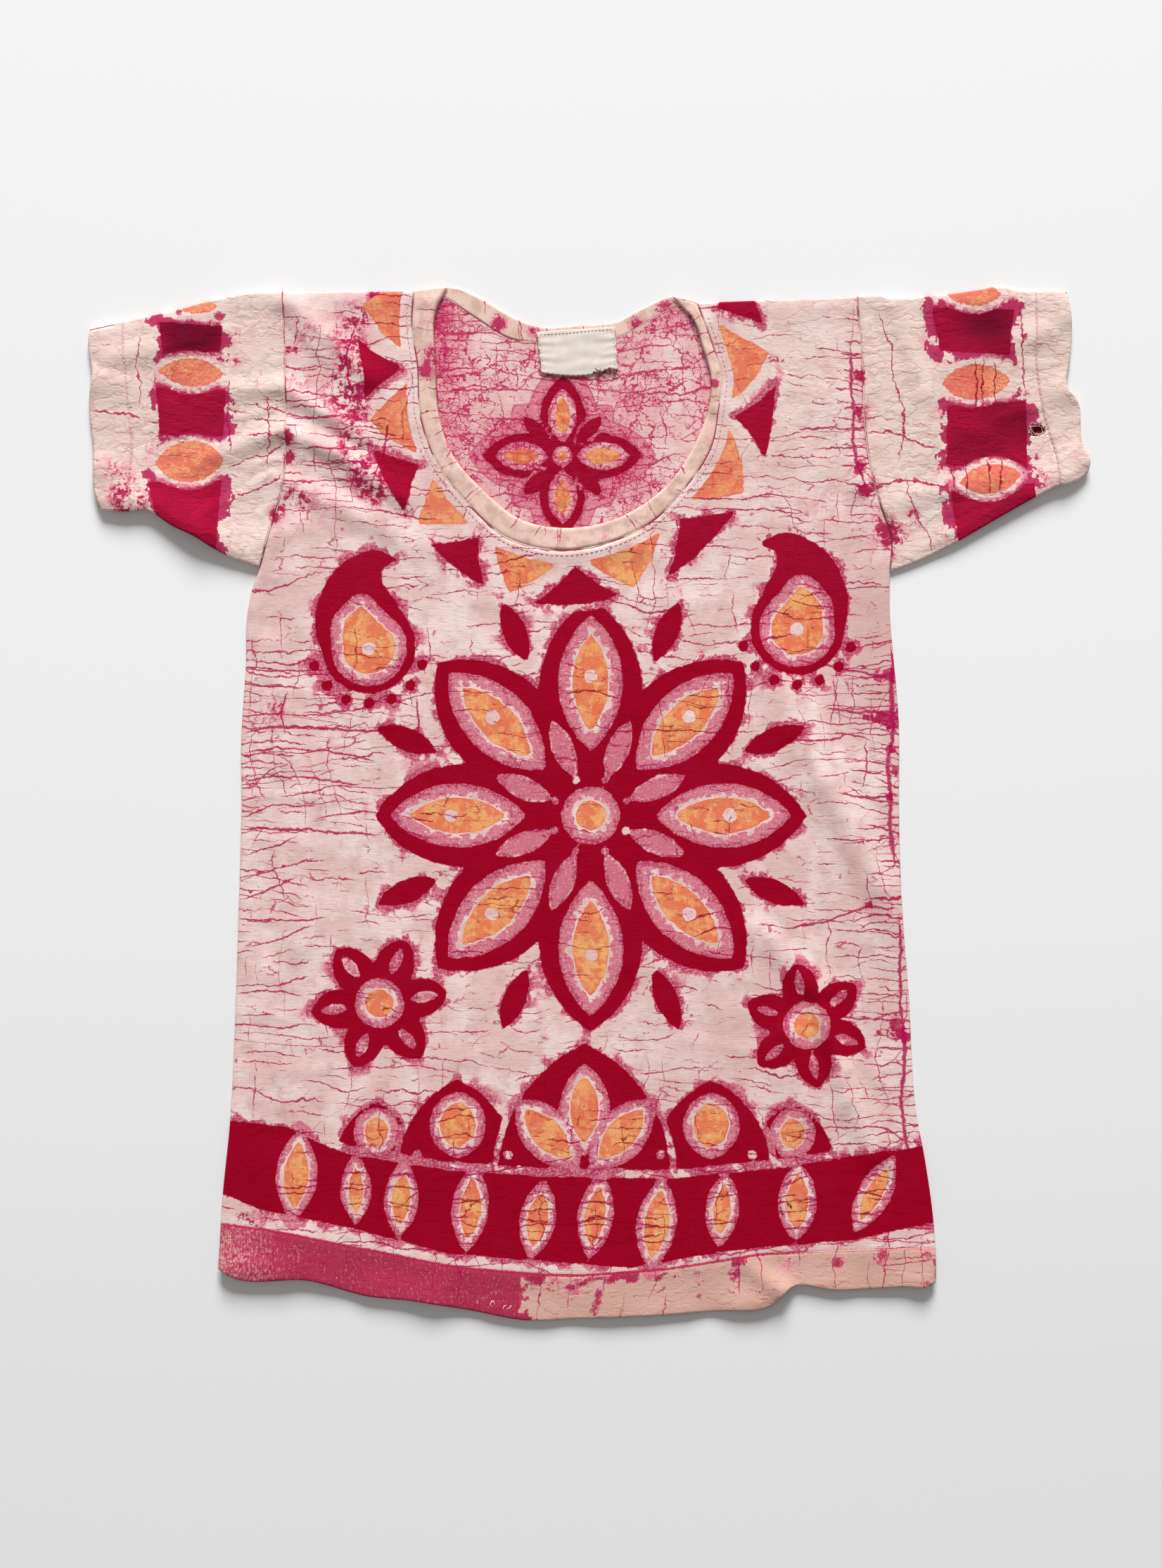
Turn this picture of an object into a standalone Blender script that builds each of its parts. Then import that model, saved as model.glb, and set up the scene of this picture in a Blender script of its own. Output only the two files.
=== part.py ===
"""Batik shirt laid flat: body, set-in short sleeves and a bound scoop neck.

The shirt is two layers of thin cotton knit. The lower layer lies on the table, the upper one
rests on it, and the cloth rolls from one to the other at its folded edges. Sizes are in
millimetres until a mesh is made. +X is the viewer's right, +Y the neck, +Z up from the table,
and the origin is on the table under the middle of the shirt.
"""

import bmesh
import bpy
import numpy as np

MM = 0.001
SHARP_FROM = np.radians(50)

# The cloth and its two layers
WALL = 1.0
SEAM_GAP = 0.4
ROLL = 1.1
LOWER_LAYER = WALL / 2
SEAM_LEVEL = LOWER_LAYER + ROLL
SEAM_RISE = 0.42
ARMPIT_DROP = 0.85
UPPER_REST = LOWER_LAYER + WALL + 0.35
UPPER_EDGE = SEAM_LEVEL + ROLL
EDGE_REACH = 12.0

# Turned-up hems, and the pieces that are sewn on
HEM_DEPTH = 28.0
HEM_STEP = 3.0
CUFF_DEPTH = 22.0
TURN_UP_RISE = 0.4
BAND_RISE = 0.3
LABEL_LEVEL = LOWER_LAYER + WALL + 0.35
LABEL_PUCKER = 0.25
LABEL_PUCKERS = 2.5
RIP_CENTRE = (286.0, 238.5)
RIP_SIZE = (12.0, 8.6)
RIP_SIDES = 14
RIP_TOOL_DEPTH = 30.0

# How many cells each piece has
SIDE_ROWS = 44
BACK_SIDE_ROWS = 15
ARMHOLE_LOW_ROWS = 4
ARMHOLE_HIGH_ROWS = 12
SHOULDER_COLUMNS = (14, 15)
NECK_COLUMNS = 15
BACK_SHOULDER_COLUMNS = 5
SLEEVE_COLUMNS = 12
BAND_CELLS = 2
BACK_BAND_CELLS = 2
BACK_BAND_COLUMNS = 13
LABEL_CELLS = (10, 6)

# Side edge of the body from the hem up to the armpit: x, y
SIDE_LEFT = (
    (-236.5, -297.0), (-234.7, -255.6), (-229.5, -202.0), (-225.7, -120.6), (-224.0, -66.6),
    (-222.3, 0.0), (-222.5, 41.4), (-219.5, 90.0), (-218.5, 122.4), (-215.8, 136.0), (-210.4, 150.3),
)
SIDE_RIGHT = (
    (221.2, -305.8), (221.2, -282.6), (214.9, -228.6), (209.9, -201.6), (204.3, -120.6),
    (199.6, -55.0), (198.2, 0.0), (198.0, 54.9), (194.6, 95.4), (192.4, 122.4), (192.4, 147.8),
)
# Lower edge of the front, left to right, with the small pleat that shortens its right part: x, y
HEM = (
    (-236.5, -297.0), (-231.1, -300.8), (-178.9, -304.7), (-142.0, -314.6), (-114.5, -317.3),
    (-74.5, -324.0), (-42.1, -329.9), (0.0, -328.8), (45.2, -327.0), (91.6, -324.0),
    (107.0, -323.6), (116.0, -321.0), (122.0, -315.5), (127.0, -310.3), (159.0, -311.0),
    (201.8, -308.7), (217.0, -308.3), (221.2, -305.8),
)
# Armhole seam from the armpit up to the shoulder: x, y
ARMHOLE_LEFT = (
    (-210.4, 150.3), (-204.1, 174.2), (-199.3, 188.6), (-194.6, 212.9), (-193.8, 246.6), (-195.7, 326.7),
)
ARMHOLE_RIGHT = (
    (192.4, 147.8), (193.2, 170.0), (186.8, 188.6), (180.5, 210.2), (176.3, 240.0), (174.6, 282.0),
    (171.0, 323.8),
)
# Folded edges of the sleeves, from the shoulder or armpit out to the cuff: x, y
SLEEVE_TOP_LEFT = (
    (-195.7, 326.7), (-210.4, 326.7), (-237.4, 322.2), (-264.4, 315.0), (-291.4, 309.2), (-318.4, 303.3),
)
SLEEVE_TOP_RIGHT = (
    (171.0, 323.8), (181.1, 324.9), (194.6, 322.9), (221.6, 324.5), (248.6, 328.1), (262.1, 330.2),
    (275.6, 327.6), (304.6, 327.2),
)
SLEEVE_UNDER_LEFT = (
    (-210.4, 150.3), (-228.4, 156.6), (-240.1, 162.7), (-251.3, 169.7), (-265.3, 176.4),
    (-282.4, 186.6), (-295.0, 186.0), (-310.9, 186.6),
)
SLEEVE_UNDER_RIGHT = (
    (192.4, 147.8), (213.1, 155.7), (229.3, 163.8), (263.5, 183.3), (286.4, 196.0), (298.1, 201.6),
    (311.6, 205.6), (318.2, 210.8),
)
# Open edge of each sleeve from top to bottom: x, y
CUFF_LEFT = (
    (-318.4, 303.3), (-319.5, 297.0), (-317.1, 271.5), (-318.6, 262.0), (-316.1, 223.7),
    (-315.0, 196.7), (-310.9, 186.6),
)
CUFF_RIGHT = (
    (304.6, 327.2), (307.5, 311.4), (306.8, 284.4), (305.1, 265.5), (311.4, 257.4), (314.3, 230.4),
    (319.5, 217.0), (318.2, 210.8),
)
# Front neck binding from the left shoulder round to the right: seam x, seam y, free edge x, y
NECK_FRONT = (
    (-112.3, 327.4, -90.7, 329.9),
    (-113.4, 306.0, -98.4, 313.0),
    (-109.8, 280.4, -98.4, 282.2),
    (-107.0, 243.0, -95.5, 244.5),
    (-97.5, 217.6, -87.5, 222.6),
    (-77.9, 191.7, -68.4, 200.2),
    (-51.5, 168.9, -44.3, 181.3),
    (-19.8, 161.3, -19.2, 175.7),
    (13.1, 166.5, 8.2, 178.5),
    (40.5, 180.3, 33.5, 189.8),
    (62.4, 202.6, 54.0, 207.6),
    (77.0, 225.0, 66.0, 226.0),
    (82.8, 252.5, 76.5, 252.5),
    (84.8, 270.5, 78.2, 270.5),
    (79.0, 292.0, 72.2, 293.0),
    (74.0, 306.0, 68.0, 307.0),
    (68.9, 320.0, 53.3, 324.0),
)
# Back neck binding, the same way round
NECK_BACK = (
    (-112.3, 327.4, -90.7, 329.9),
    (-94.3, 324.4, -82.0, 328.1),
    (-76.7, 313.2, -71.8, 323.6),
    (-46.1, 296.1, -43.0, 307.8),
    (-34.9, 294.8, -33.1, 304.4),
    (-7.9, 295.7, -7.9, 305.1),
    (18.9, 297.9, 17.5, 307.4),
    (39.4, 309.2, 32.4, 315.0),
    (55.4, 317.3, 45.7, 321.3),
    (68.9, 320.0, 53.3, 324.0),
)
# Corners of the label: upper left, upper right, lower right, lower left
LABEL_CORNERS = ((-33.5, 301.0), (16.5, 304.6), (18.2, 277.4), (-30.4, 275.0))
LABEL_SAG = 3.0

# Soft folds of the upper layer: a ridge from x, y to end_x, end_y, with its half width, and its
# height at each end. Where two ridges meet, they blend by the power below
FOLD_BLEND = 4
FOLDS = (
    # across the left sleeve and shoulder, fanning out from the armhole
    (-246.0, 220.0, -196.0, 238.0, 7.0, 1.2, 3.2),
    (-196.0, 238.0, -160.0, 223.0, 7.0, 3.2, 3.8),
    (-160.0, 223.0, -120.0, 195.0, 7.5, 3.8, 2.0),
    (-236.0, 262.0, -196.0, 266.0, 6.5, 1.0, 2.4),
    (-196.0, 266.0, -146.0, 234.0, 6.5, 2.4, 2.2),
    (-193.0, 320.0, -141.0, 273.0, 8.5, 2.4, 2.4),
    (-194.0, 206.0, -148.0, 184.0, 8.0, 1.6, 2.0),
    (-148.0, 184.0, -96.0, 158.0, 9.0, 2.0, 0.8),
    (-304.0, 284.0, -246.0, 298.0, 9.0, 2.0, 0.8),
    (-206.0, 168.0, -186.0, 178.0, 8.0, 1.6, 0.8),
    # the neck edge stands clear of the back
    (-99.0, 318.0, -98.0, 246.0, 9.0, 3.2, 1.4),
    (71.0, 304.0, 82.0, 252.0, 8.0, 2.8, 1.8),
    (-30.0, 158.0, 34.0, 164.0, 8.0, 0.8, 1.0),
    # over the right sleeve and shoulder
    (154.0, 262.0, 172.0, 204.0, 9.0, 1.0, 1.8),
    (196.0, 318.0, 214.0, 262.0, 8.0, 2.0, 1.6),
    (214.0, 262.0, 216.0, 222.0, 8.0, 1.6, 0.8),
    (198.0, 192.0, 262.0, 208.0, 9.0, 1.6, 2.0),
    (292.0, 302.0, 246.0, 288.0, 9.0, 2.0, 0.8),
    # down the right of the body
    (112.0, 96.0, 150.0, 14.0, 12.0, 1.2, 4.0),
    (150.0, 14.0, 186.0, -56.0, 11.0, 4.0, 3.0),
    (186.0, -56.0, 200.0, -96.0, 10.0, 3.0, 1.0),
    (108.0, -82.0, 150.0, -120.0, 10.0, 1.8, 2.6),
    (150.0, -134.0, 166.0, -190.0, 8.0, 3.2, 3.4),
    (166.0, -190.0, 182.0, -224.0, 9.0, 3.4, 1.6),
    (128.0, -148.0, 138.0, -200.0, 8.0, 2.0, 1.2),
    # down the left of the body
    (-203.0, 100.0, -198.0, 22.0, 9.0, 2.0, 1.2),
    (-178.0, 46.0, -186.0, -90.0, 13.0, 0.8, 1.6),
    (-204.0, -110.0, -196.0, -190.0, 12.0, 1.2, 0.8),
    # waves along the hem and its pleat
    (-176.0, -306.0, -184.0, -262.0, 22.0, 2.6, 0.4),
    (-96.0, -320.0, -92.0, -280.0, 20.0, 2.0, 0.3),
    (14.0, -330.0, 10.0, -284.0, 24.0, 2.4, 0.3),
    (100.0, -296.0, 124.0, -311.0, 6.0, 1.6, 3.8),
    (190.0, -309.0, 180.0, -262.0, 18.0, 2.0, 0.6),
    # waves along the cuffs
    (-319.0, 270.0, -292.0, 268.0, 10.0, 2.6, 0.6),
    (-316.0, 214.0, -288.0, 212.0, 11.0, 2.0, 0.4),
    (306.0, 310.0, 286.0, 306.0, 9.0, 2.0, 0.4),
    (307.0, 264.0, 288.0, 260.0, 10.0, 2.6, 0.6),
    (318.0, 222.0, 292.0, 218.0, 10.0, 1.8, 0.4),
)

# Colour, roughness and metallic value of each finish
FINISHES = {
    "batik_cotton": ((0.79, 0.62, 0.56), 0.88, 0.0),
    "batik_cotton_inside": ((0.74, 0.42, 0.46), 0.9, 0.0),
    "neck_binding": ((0.80, 0.68, 0.58), 0.88, 0.0),
    "plain_label": ((0.84, 0.81, 0.75), 0.7, 0.0),
}


def curve_at(table, fractions):
    """Places on a smooth curve through a table's rows, at fractions of its length."""
    knots = np.asarray(table, float)
    gaps = np.linalg.norm(np.diff(knots, axis=0), axis=1)
    stations = np.concatenate([[0.0], np.cumsum(gaps)])
    rates = np.diff(knots, axis=0) / gaps[:, None]
    before, after = gaps[:-1, None], gaps[1:, None]
    turns = (rates[1:] * before + rates[:-1] * after) / (before + after)
    slopes = np.vstack([rates[:1], turns, rates[-1:]])
    along = np.asarray(fractions) * stations[-1]
    span = np.clip(np.searchsorted(stations, along, side="right") - 1, 0, len(gaps) - 1)
    gap = gaps[span][:, None]
    t = (along - stations[span])[:, None] / gap
    from_start = (2 * t**3 - 3 * t**2 + 1) * knots[span] + (t**3 - 2 * t**2 + t) * gap * slopes[span]
    from_end = (3 * t**2 - 2 * t**3) * knots[span + 1] + (t**3 - t**2) * gap * slopes[span + 1]
    return from_start + from_end


def fitted(path, start, end):
    """The path, sheared a little so that its ends meet two corners."""
    share = np.linspace(0, 1, len(path))[:, None]
    return path + (1 - share) * (np.asarray(start) - path[0]) + share * (np.asarray(end) - path[-1])


def set_off(path, distance):
    """The path moved to its right-hand side by a distance."""
    along = np.gradient(path, axis=0)
    along /= np.linalg.norm(along, axis=1)[:, None]
    return path + distance * np.stack([along[:, 1], -along[:, 0]], axis=1)


def patch(bottom, top, left, right):
    """Coons patch: the grid between four edges, its rows from bottom to top."""
    across = np.linspace(0, 1, len(bottom))[None, :, None]
    up = np.linspace(0, 1, len(left))[:, None, None]
    between_rows = (1 - up) * bottom[None] + up * top[None]
    between_sides = (1 - across) * left[:, None] + across * right[:, None]
    low = (1 - across) * bottom[0] + across * bottom[-1]
    high = (1 - across) * top[0] + across * top[-1]
    return between_rows + between_sides - ((1 - up) * low + up * high)


def straight(start, end, cells):
    """Evenly spaced points on a straight line."""
    return np.linspace(start, end, cells + 1)


def run(start, end, cells):
    """Evenly spaced fractions, without the first one."""
    return np.linspace(start, end, cells + 1)[1:]


def with_roll(grid, drop, axis, at_end):
    """Two more lines beside an edge of the grid, where the cloth starts to turn.

    The roll is a quarter circle: its lines lie at angles of 90, 45 and 0 degrees. The drop is
    the share of the way down to the seam, 1 on the edge itself.
    """
    grid = np.moveaxis(grid, axis, 0)
    drop = np.moveaxis(drop, axis, 0)
    if at_end:
        grid, drop = grid[::-1], drop[::-1]
    inward = grid[1] - grid[0]
    inward = inward / np.linalg.norm(inward, axis=-1, keepdims=True)
    diagonal = 1 - np.sqrt(0.5)
    lines = [grid[:1], (grid[0] + diagonal * ROLL * inward)[None], (grid[0] + ROLL * inward)[None]]
    grid = np.concatenate(lines + [grid[1:]])
    falls = [drop[:1], diagonal * drop[:1], 0 * drop[:1]]
    drop = np.concatenate(falls + [drop[1:]])
    if at_end:
        grid, drop = grid[::-1], drop[::-1]
    return np.moveaxis(grid, 0, axis), np.moveaxis(drop, 0, axis)


def distance_to(path, x, y):
    """Shortest distance from each place to a path of straight pieces."""
    nearest = np.full(np.shape(x), np.inf)
    for (x0, y0), (x1, y1) in zip(path[:-1], path[1:]):
        length = (x1 - x0) ** 2 + (y1 - y0) ** 2
        share = np.clip(((x - x0) * (x1 - x0) + (y - y0) * (y1 - y0)) / length, 0, 1)
        nearest = np.fmin(nearest, np.hypot(x - x0 - share * (x1 - x0), y - y0 - share * (y1 - y0)))
    return nearest


def upper_height(x, y):
    """Height of the upper layer: it rolls up at folded edges, rests inside, and carries the folds."""
    edges = (
        SLEEVE_TOP_LEFT[::-1] + (NECK_FRONT[0][:2],),
        SLEEVE_TOP_RIGHT[::-1] + (NECK_FRONT[-1][:2],),
        SIDE_LEFT + SLEEVE_UNDER_LEFT[1:],
        SIDE_RIGHT + SLEEVE_UNDER_RIGHT[1:],
    )
    inside = np.full(np.shape(x), np.inf)
    for edge in edges:
        inside = np.fmin(inside, distance_to(edge, x, y))
    blended = np.zeros(np.shape(x))
    for x0, y0, x1, y1, half_width, start_height, end_height in FOLDS:
        length = (x1 - x0) ** 2 + (y1 - y0) ** 2
        share = np.clip(((x - x0) * (x1 - x0) + (y - y0) * (y1 - y0)) / length, 0, 1)
        away = np.hypot(x - x0 - share * (x1 - x0), y - y0 - share * (y1 - y0))
        crest = start_height + (end_height - start_height) * share
        blended = blended + (crest * np.exp(-((away / half_width) ** 2))) ** FOLD_BLEND
    roll = (UPPER_EDGE - UPPER_REST) * np.exp(-((inside / EDGE_REACH) ** 2))
    return UPPER_REST + roll + blended ** (1 / FOLD_BLEND)


def upper_points(grid, drop, rise=0.0):
    """The flat grid lifted to the upper layer, turning down to the seam where it rolls."""
    height = upper_height(grid[..., 0], grid[..., 1]) + rise
    height = height - drop * (height - SEAM_LEVEL - SEAM_RISE)
    return np.concatenate([grid, height[..., None]], axis=-1)


def lower_points(grid, drop):
    """The flat grid on the table, turning up to the seam where it rolls."""
    height = LOWER_LAYER + drop * (SEAM_LEVEL - SEAM_RISE - LOWER_LAYER)
    return np.concatenate([grid, height[..., None]], axis=-1)


def armhole_fractions():
    """Stations up an armhole: the low part beside the chest, then the part beside the neck."""
    link = 0.23
    return np.concatenate([[0.0], run(0, link, ARMHOLE_LOW_ROWS), run(link, 1, ARMHOLE_HIGH_ROWS)])


def side_fractions(length):
    """Stations up a side seam: three for the turned-up hem, its stitch line, then even ones."""
    hem = np.array([0.0, HEM_DEPTH / 2, HEM_DEPTH, HEM_DEPTH + HEM_STEP]) / length
    return np.concatenate([hem, run(hem[-1], 1, SIDE_ROWS - 3)])


def body_corners(way, side, armhole, neck):
    """Hem, armpit, shoulder and neck corners of the body on one side (way is 1 on the left)."""
    inset = way * WALL / 2
    seam = way * SEAM_GAP / 2
    hem = np.add(side[0], (inset, 0))
    armpit = np.add(armhole[0], (inset + seam, 0))
    shoulder = np.add(armhole[-1], (seam, -WALL / 2))
    neck_side = np.add(neck, (-seam, -(WALL + SEAM_GAP) / 2))
    return hem, armpit, shoulder, neck_side


def body_edge(way, side, armhole, corners, stations):
    """Points up one side of the body, from the hem past the armpit to the shoulder."""
    hem, armpit, shoulder = corners[:3]
    up_side = fitted(curve_at(side, stations), hem, armpit)
    seam = np.array([way * SEAM_GAP / 2, 0])
    up_armhole = fitted(curve_at(armhole, armhole_fractions()) + seam, armpit, shoulder)
    return np.vstack([up_side, up_armhole[1:]])


def front_neck_stations():
    """Stations round the front neck: down its left side, along its foot, and up the right."""
    foot_start, foot_end = 0.37, 0.64
    down = np.linspace(0, foot_start, ARMHOLE_HIGH_ROWS + 1)
    foot = run(foot_start, foot_end, NECK_COLUMNS)
    up = run(foot_end, 1, ARMHOLE_HIGH_ROWS)
    return np.concatenate([down, foot, up])


def front_panel():
    """Grid of the front: a block below the neck, and one on each side of it."""
    left_columns, right_columns = SHOULDER_COLUMNS
    columns = left_columns + NECK_COLUMNS + right_columns
    left_corners = body_corners(1, SIDE_LEFT, ARMHOLE_LEFT, NECK_FRONT[0][:2])
    right_corners = body_corners(-1, SIDE_RIGHT, ARMHOLE_RIGHT, NECK_FRONT[-1][:2])
    length = SIDE_LEFT[-1][1] - SIDE_LEFT[0][1]
    left = body_edge(1, SIDE_LEFT, ARMHOLE_LEFT, left_corners, side_fractions(length))
    right = body_edge(-1, SIDE_RIGHT, ARMHOLE_RIGHT, right_corners, side_fractions(length))
    neck = set_off(curve_at(NECK_FRONT, front_neck_stations())[:, :2], SEAM_GAP / 2)
    neck[0] = left_corners[3]
    neck[-1] = right_corners[3]
    foot_start = ARMHOLE_HIGH_ROWS
    foot_end = foot_start + NECK_COLUMNS
    down_left = neck[foot_start::-1]
    up_right = neck[foot_end:]
    link_row = SIDE_ROWS + ARMHOLE_LOW_ROWS
    link_left = straight(left[link_row], neck[foot_start], left_columns)
    link_right = straight(neck[foot_end], right[link_row], right_columns)
    chest = np.vstack([link_left, neck[foot_start + 1:foot_end], link_right])
    hem = fitted(curve_at(HEM, np.linspace(0, 1, columns + 1)), left_corners[0], right_corners[0])
    shoulder_left = straight(left_corners[2], left_corners[3], left_columns)
    shoulder_right = straight(right_corners[3], right_corners[2], right_columns)

    grid = np.full((link_row + ARMHOLE_HIGH_ROWS + 1, columns + 1, 2), np.nan)
    grid[:link_row + 1] = patch(hem, chest, left[:link_row + 1], right[:link_row + 1])
    grid[link_row:, :left_columns + 1] = patch(link_left, shoulder_left, left[link_row:], down_left)
    grid[link_row:, -right_columns - 1:] = patch(link_right, shoulder_right, up_right, right[link_row:])

    drop = np.zeros(grid.shape[:2] + (1,))
    drop[:SIDE_ROWS, [0, -1]] = 1
    drop[SIDE_ROWS, [0, -1]] = ARMPIT_DROP
    grid, drop = with_roll(grid, drop, axis=1, at_end=False)
    grid, drop = with_roll(grid, drop, axis=1, at_end=True)
    drop[-1] = 1
    grid, drop = with_roll(grid, drop, axis=0, at_end=True)
    turn_up = np.zeros((len(grid), 1))
    turn_up[:3] = TURN_UP_RISE
    return upper_points(grid, drop[..., 0], turn_up)


def back_panel():
    """Grid of the back, whose upper edge runs over the shoulders and round the shallow neck."""
    left_corners = body_corners(1, SIDE_LEFT, ARMHOLE_LEFT, NECK_FRONT[0][:2])
    right_corners = body_corners(-1, SIDE_RIGHT, ARMHOLE_RIGHT, NECK_FRONT[-1][:2])
    stations = np.linspace(0, 1, BACK_SIDE_ROWS + 1)
    left = body_edge(1, SIDE_LEFT, ARMHOLE_LEFT, left_corners, stations)
    right = body_edge(-1, SIDE_RIGHT, ARMHOLE_RIGHT, right_corners, stations)
    neck = curve_at(NECK_BACK, np.linspace(0, 1, BACK_BAND_COLUMNS + 1))[:, :2]
    neck = set_off(neck, SEAM_GAP / 2)
    neck[0] = left_corners[3]
    neck[-1] = right_corners[3]
    shoulder_left = straight(left_corners[2], left_corners[3], BACK_SHOULDER_COLUMNS)
    shoulder_right = straight(right_corners[3], right_corners[2], BACK_SHOULDER_COLUMNS)
    top = np.vstack([shoulder_left, neck[1:-1], shoulder_right])
    hem = curve_at(HEM, np.linspace(0, 1, len(top)))
    hem = fitted(hem, left_corners[0], right_corners[0])
    grid = patch(hem, top, left, right)

    drop = np.zeros(grid.shape[:2] + (1,))
    drop[:BACK_SIDE_ROWS, [0, -1]] = 1
    drop[BACK_SIDE_ROWS, [0, -1]] = ARMPIT_DROP
    grid, drop = with_roll(grid, drop, axis=1, at_end=False)
    grid, drop = with_roll(grid, drop, axis=1, at_end=True)
    shoulder_lines = BACK_SHOULDER_COLUMNS + 2
    drop[-1, :shoulder_lines] = 1
    drop[-1, -shoulder_lines:] = 1
    grid, drop = with_roll(grid, drop, axis=0, at_end=True)
    return lower_points(grid, drop[..., 0])


def sleeve_grid(way, top_edge, under_edge, cuff, armhole):
    """Flat grid of one layer of a sleeve: rows from the armpit fold up to the shoulder fold."""
    seam = np.array([-way * SEAM_GAP / 2, 0])
    inset = np.array([0, WALL / 2])
    shoulder = np.array(armhole[-1]) + seam - inset
    armpit = np.array(armhole[0]) + seam + inset
    cuff_top = np.array(cuff[0]) - inset
    cuff_under = np.array(cuff[-1]) + inset
    turn_up = 1 - CUFF_DEPTH / abs(cuff[0][0] - armhole[-1][0])
    out = np.concatenate([[0.0], run(0, turn_up, SLEEVE_COLUMNS - 2), run(turn_up, 1, 2)])
    over = fitted(curve_at(top_edge, out), shoulder, cuff_top)
    under = fitted(curve_at(under_edge, out), armpit, cuff_under)
    stations = armhole_fractions()
    inner = fitted(curve_at(armhole, stations) + seam, armpit, shoulder)
    outer = fitted(curve_at(cuff[::-1], stations), cuff_under, cuff_top)
    grid = patch(under, over, inner, outer)
    if way > 0:
        grid = grid[:, ::-1]
    drop = np.zeros(grid.shape[:2] + (1,))
    drop[[0, -1]] = 1
    grid, drop = with_roll(grid, drop, axis=0, at_end=False)
    grid, drop = with_roll(grid, drop, axis=0, at_end=True)
    return grid, drop[..., 0]


def sleeve_tube():
    """Rings of the left sleeve: the upper layer, the roll under it, the lower layer, and back."""
    grid, drop = sleeve_grid(1, SLEEVE_TOP_LEFT, SLEEVE_UNDER_LEFT, CUFF_LEFT, ARMHOLE_LEFT)
    upper = upper_points(grid, drop)
    lower = lower_points(grid, drop)
    upper[[0, -1], :, 2] = SEAM_LEVEL
    return np.concatenate([upper, lower[-2:0:-1], upper[:1]])


def neck_strip(table, stations, cells):
    """Flat grid of a neck binding: rows from its seam to its free edge, columns along it."""
    rows = curve_at(table, stations)
    seam = set_off(rows[:, :2], -SEAM_GAP / 2)
    free = rows[:, 2:]
    share = np.linspace(0, 1, cells + 1)[:, None, None]
    grid = (1 - share) * seam[None] + share * free[None]
    grid[:, 0] += (SEAM_GAP / 2, -WALL / 2)
    grid[:, -1] -= (SEAM_GAP / 2, WALL / 2)
    return grid


def front_binding():
    """Grid of the front neck binding, which turns down to the back one at each shoulder."""
    grid = neck_strip(NECK_FRONT, front_neck_stations(), BAND_CELLS)
    drop = np.zeros(grid.shape[:2] + (1,))
    drop[:, [0, -1]] = 1
    grid, drop = with_roll(grid, drop, axis=1, at_end=False)
    grid, drop = with_roll(grid, drop, axis=1, at_end=True)
    return upper_points(grid, drop[..., 0], BAND_RISE)


def back_binding():
    """Grid of the back neck binding, flat on the table between the shoulders."""
    grid = neck_strip(NECK_BACK, np.linspace(0, 1, BACK_BAND_COLUMNS + 1), BACK_BAND_CELLS)
    return lower_points(grid, np.zeros(grid.shape[:2]))


def label_points():
    """Grid of the label, with the shallow puckers that its stitching pulls into it."""
    upper_left, upper_right, lower_right, lower_left = (np.array(corner) for corner in LABEL_CORNERS)
    columns, rows = LABEL_CELLS
    grid = patch(
        straight(lower_left, lower_right, columns), straight(upper_left, upper_right, columns),
        straight(lower_left, upper_left, rows), straight(lower_right, upper_right, rows),
    )
    across = np.linspace(0, 1, columns + 1)[None, :]
    up = np.linspace(0, 1, rows + 1)[:, None]
    grid[..., 1] -= LABEL_SAG * np.sin(np.pi * across) * (1 - up)
    pucker = LABEL_PUCKER * (1 - np.cos(2 * np.pi * LABEL_PUCKERS * up)) * (0.6 + 0.4 * across)
    return np.concatenate([grid, (LABEL_LEVEL + pucker)[..., None]], axis=-1)


def finish(name):
    """The material of one finish."""
    colour, roughness, metallic = FINISHES[name]
    material = bpy.data.materials.get(name) or bpy.data.materials.new(name)
    material.use_nodes = True
    shader = material.node_tree.nodes["Principled BSDF"]
    shader.inputs["Base Color"].default_value = (*colour, 1)
    shader.inputs["Roughness"].default_value = roughness
    shader.inputs["Metallic"].default_value = metallic
    material.diffuse_color = (*colour, 1)
    return material


def cloth_piece(name, points, material, shirt):
    """A grid bent to the points, without the cells of a cut-out, given its wall by Solidify."""
    rows, columns = points.shape[:2]
    shape = bmesh.new()
    bmesh.ops.create_grid(shape, x_segments=columns - 1, y_segments=rows - 1, size=1)
    places = points.reshape(-1, 3) * MM
    cut_out = []
    for vertex, place in zip(shape.verts, places):
        if np.isnan(place[0]):
            cut_out.append(vertex)
        else:
            vertex.co = place
    bmesh.ops.delete(shape, geom=cut_out, context="VERTS")
    bmesh.ops.remove_doubles(shape, verts=shape.verts, dist=0.01 * MM)
    mesh = bpy.data.meshes.new(name)
    shape.to_mesh(mesh)
    shape.free()
    mesh.materials.append(finish(material))
    mesh.shade_smooth()
    mesh.set_sharp_from_angle(angle=SHARP_FROM)
    piece = bpy.data.objects.new(name, mesh)
    shirt.objects.link(piece)
    wall = piece.modifiers.new("wall", "SOLIDIFY")
    wall.thickness = WALL * MM
    wall.offset = 0
    wall.use_even_offset = True
    return piece


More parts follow.
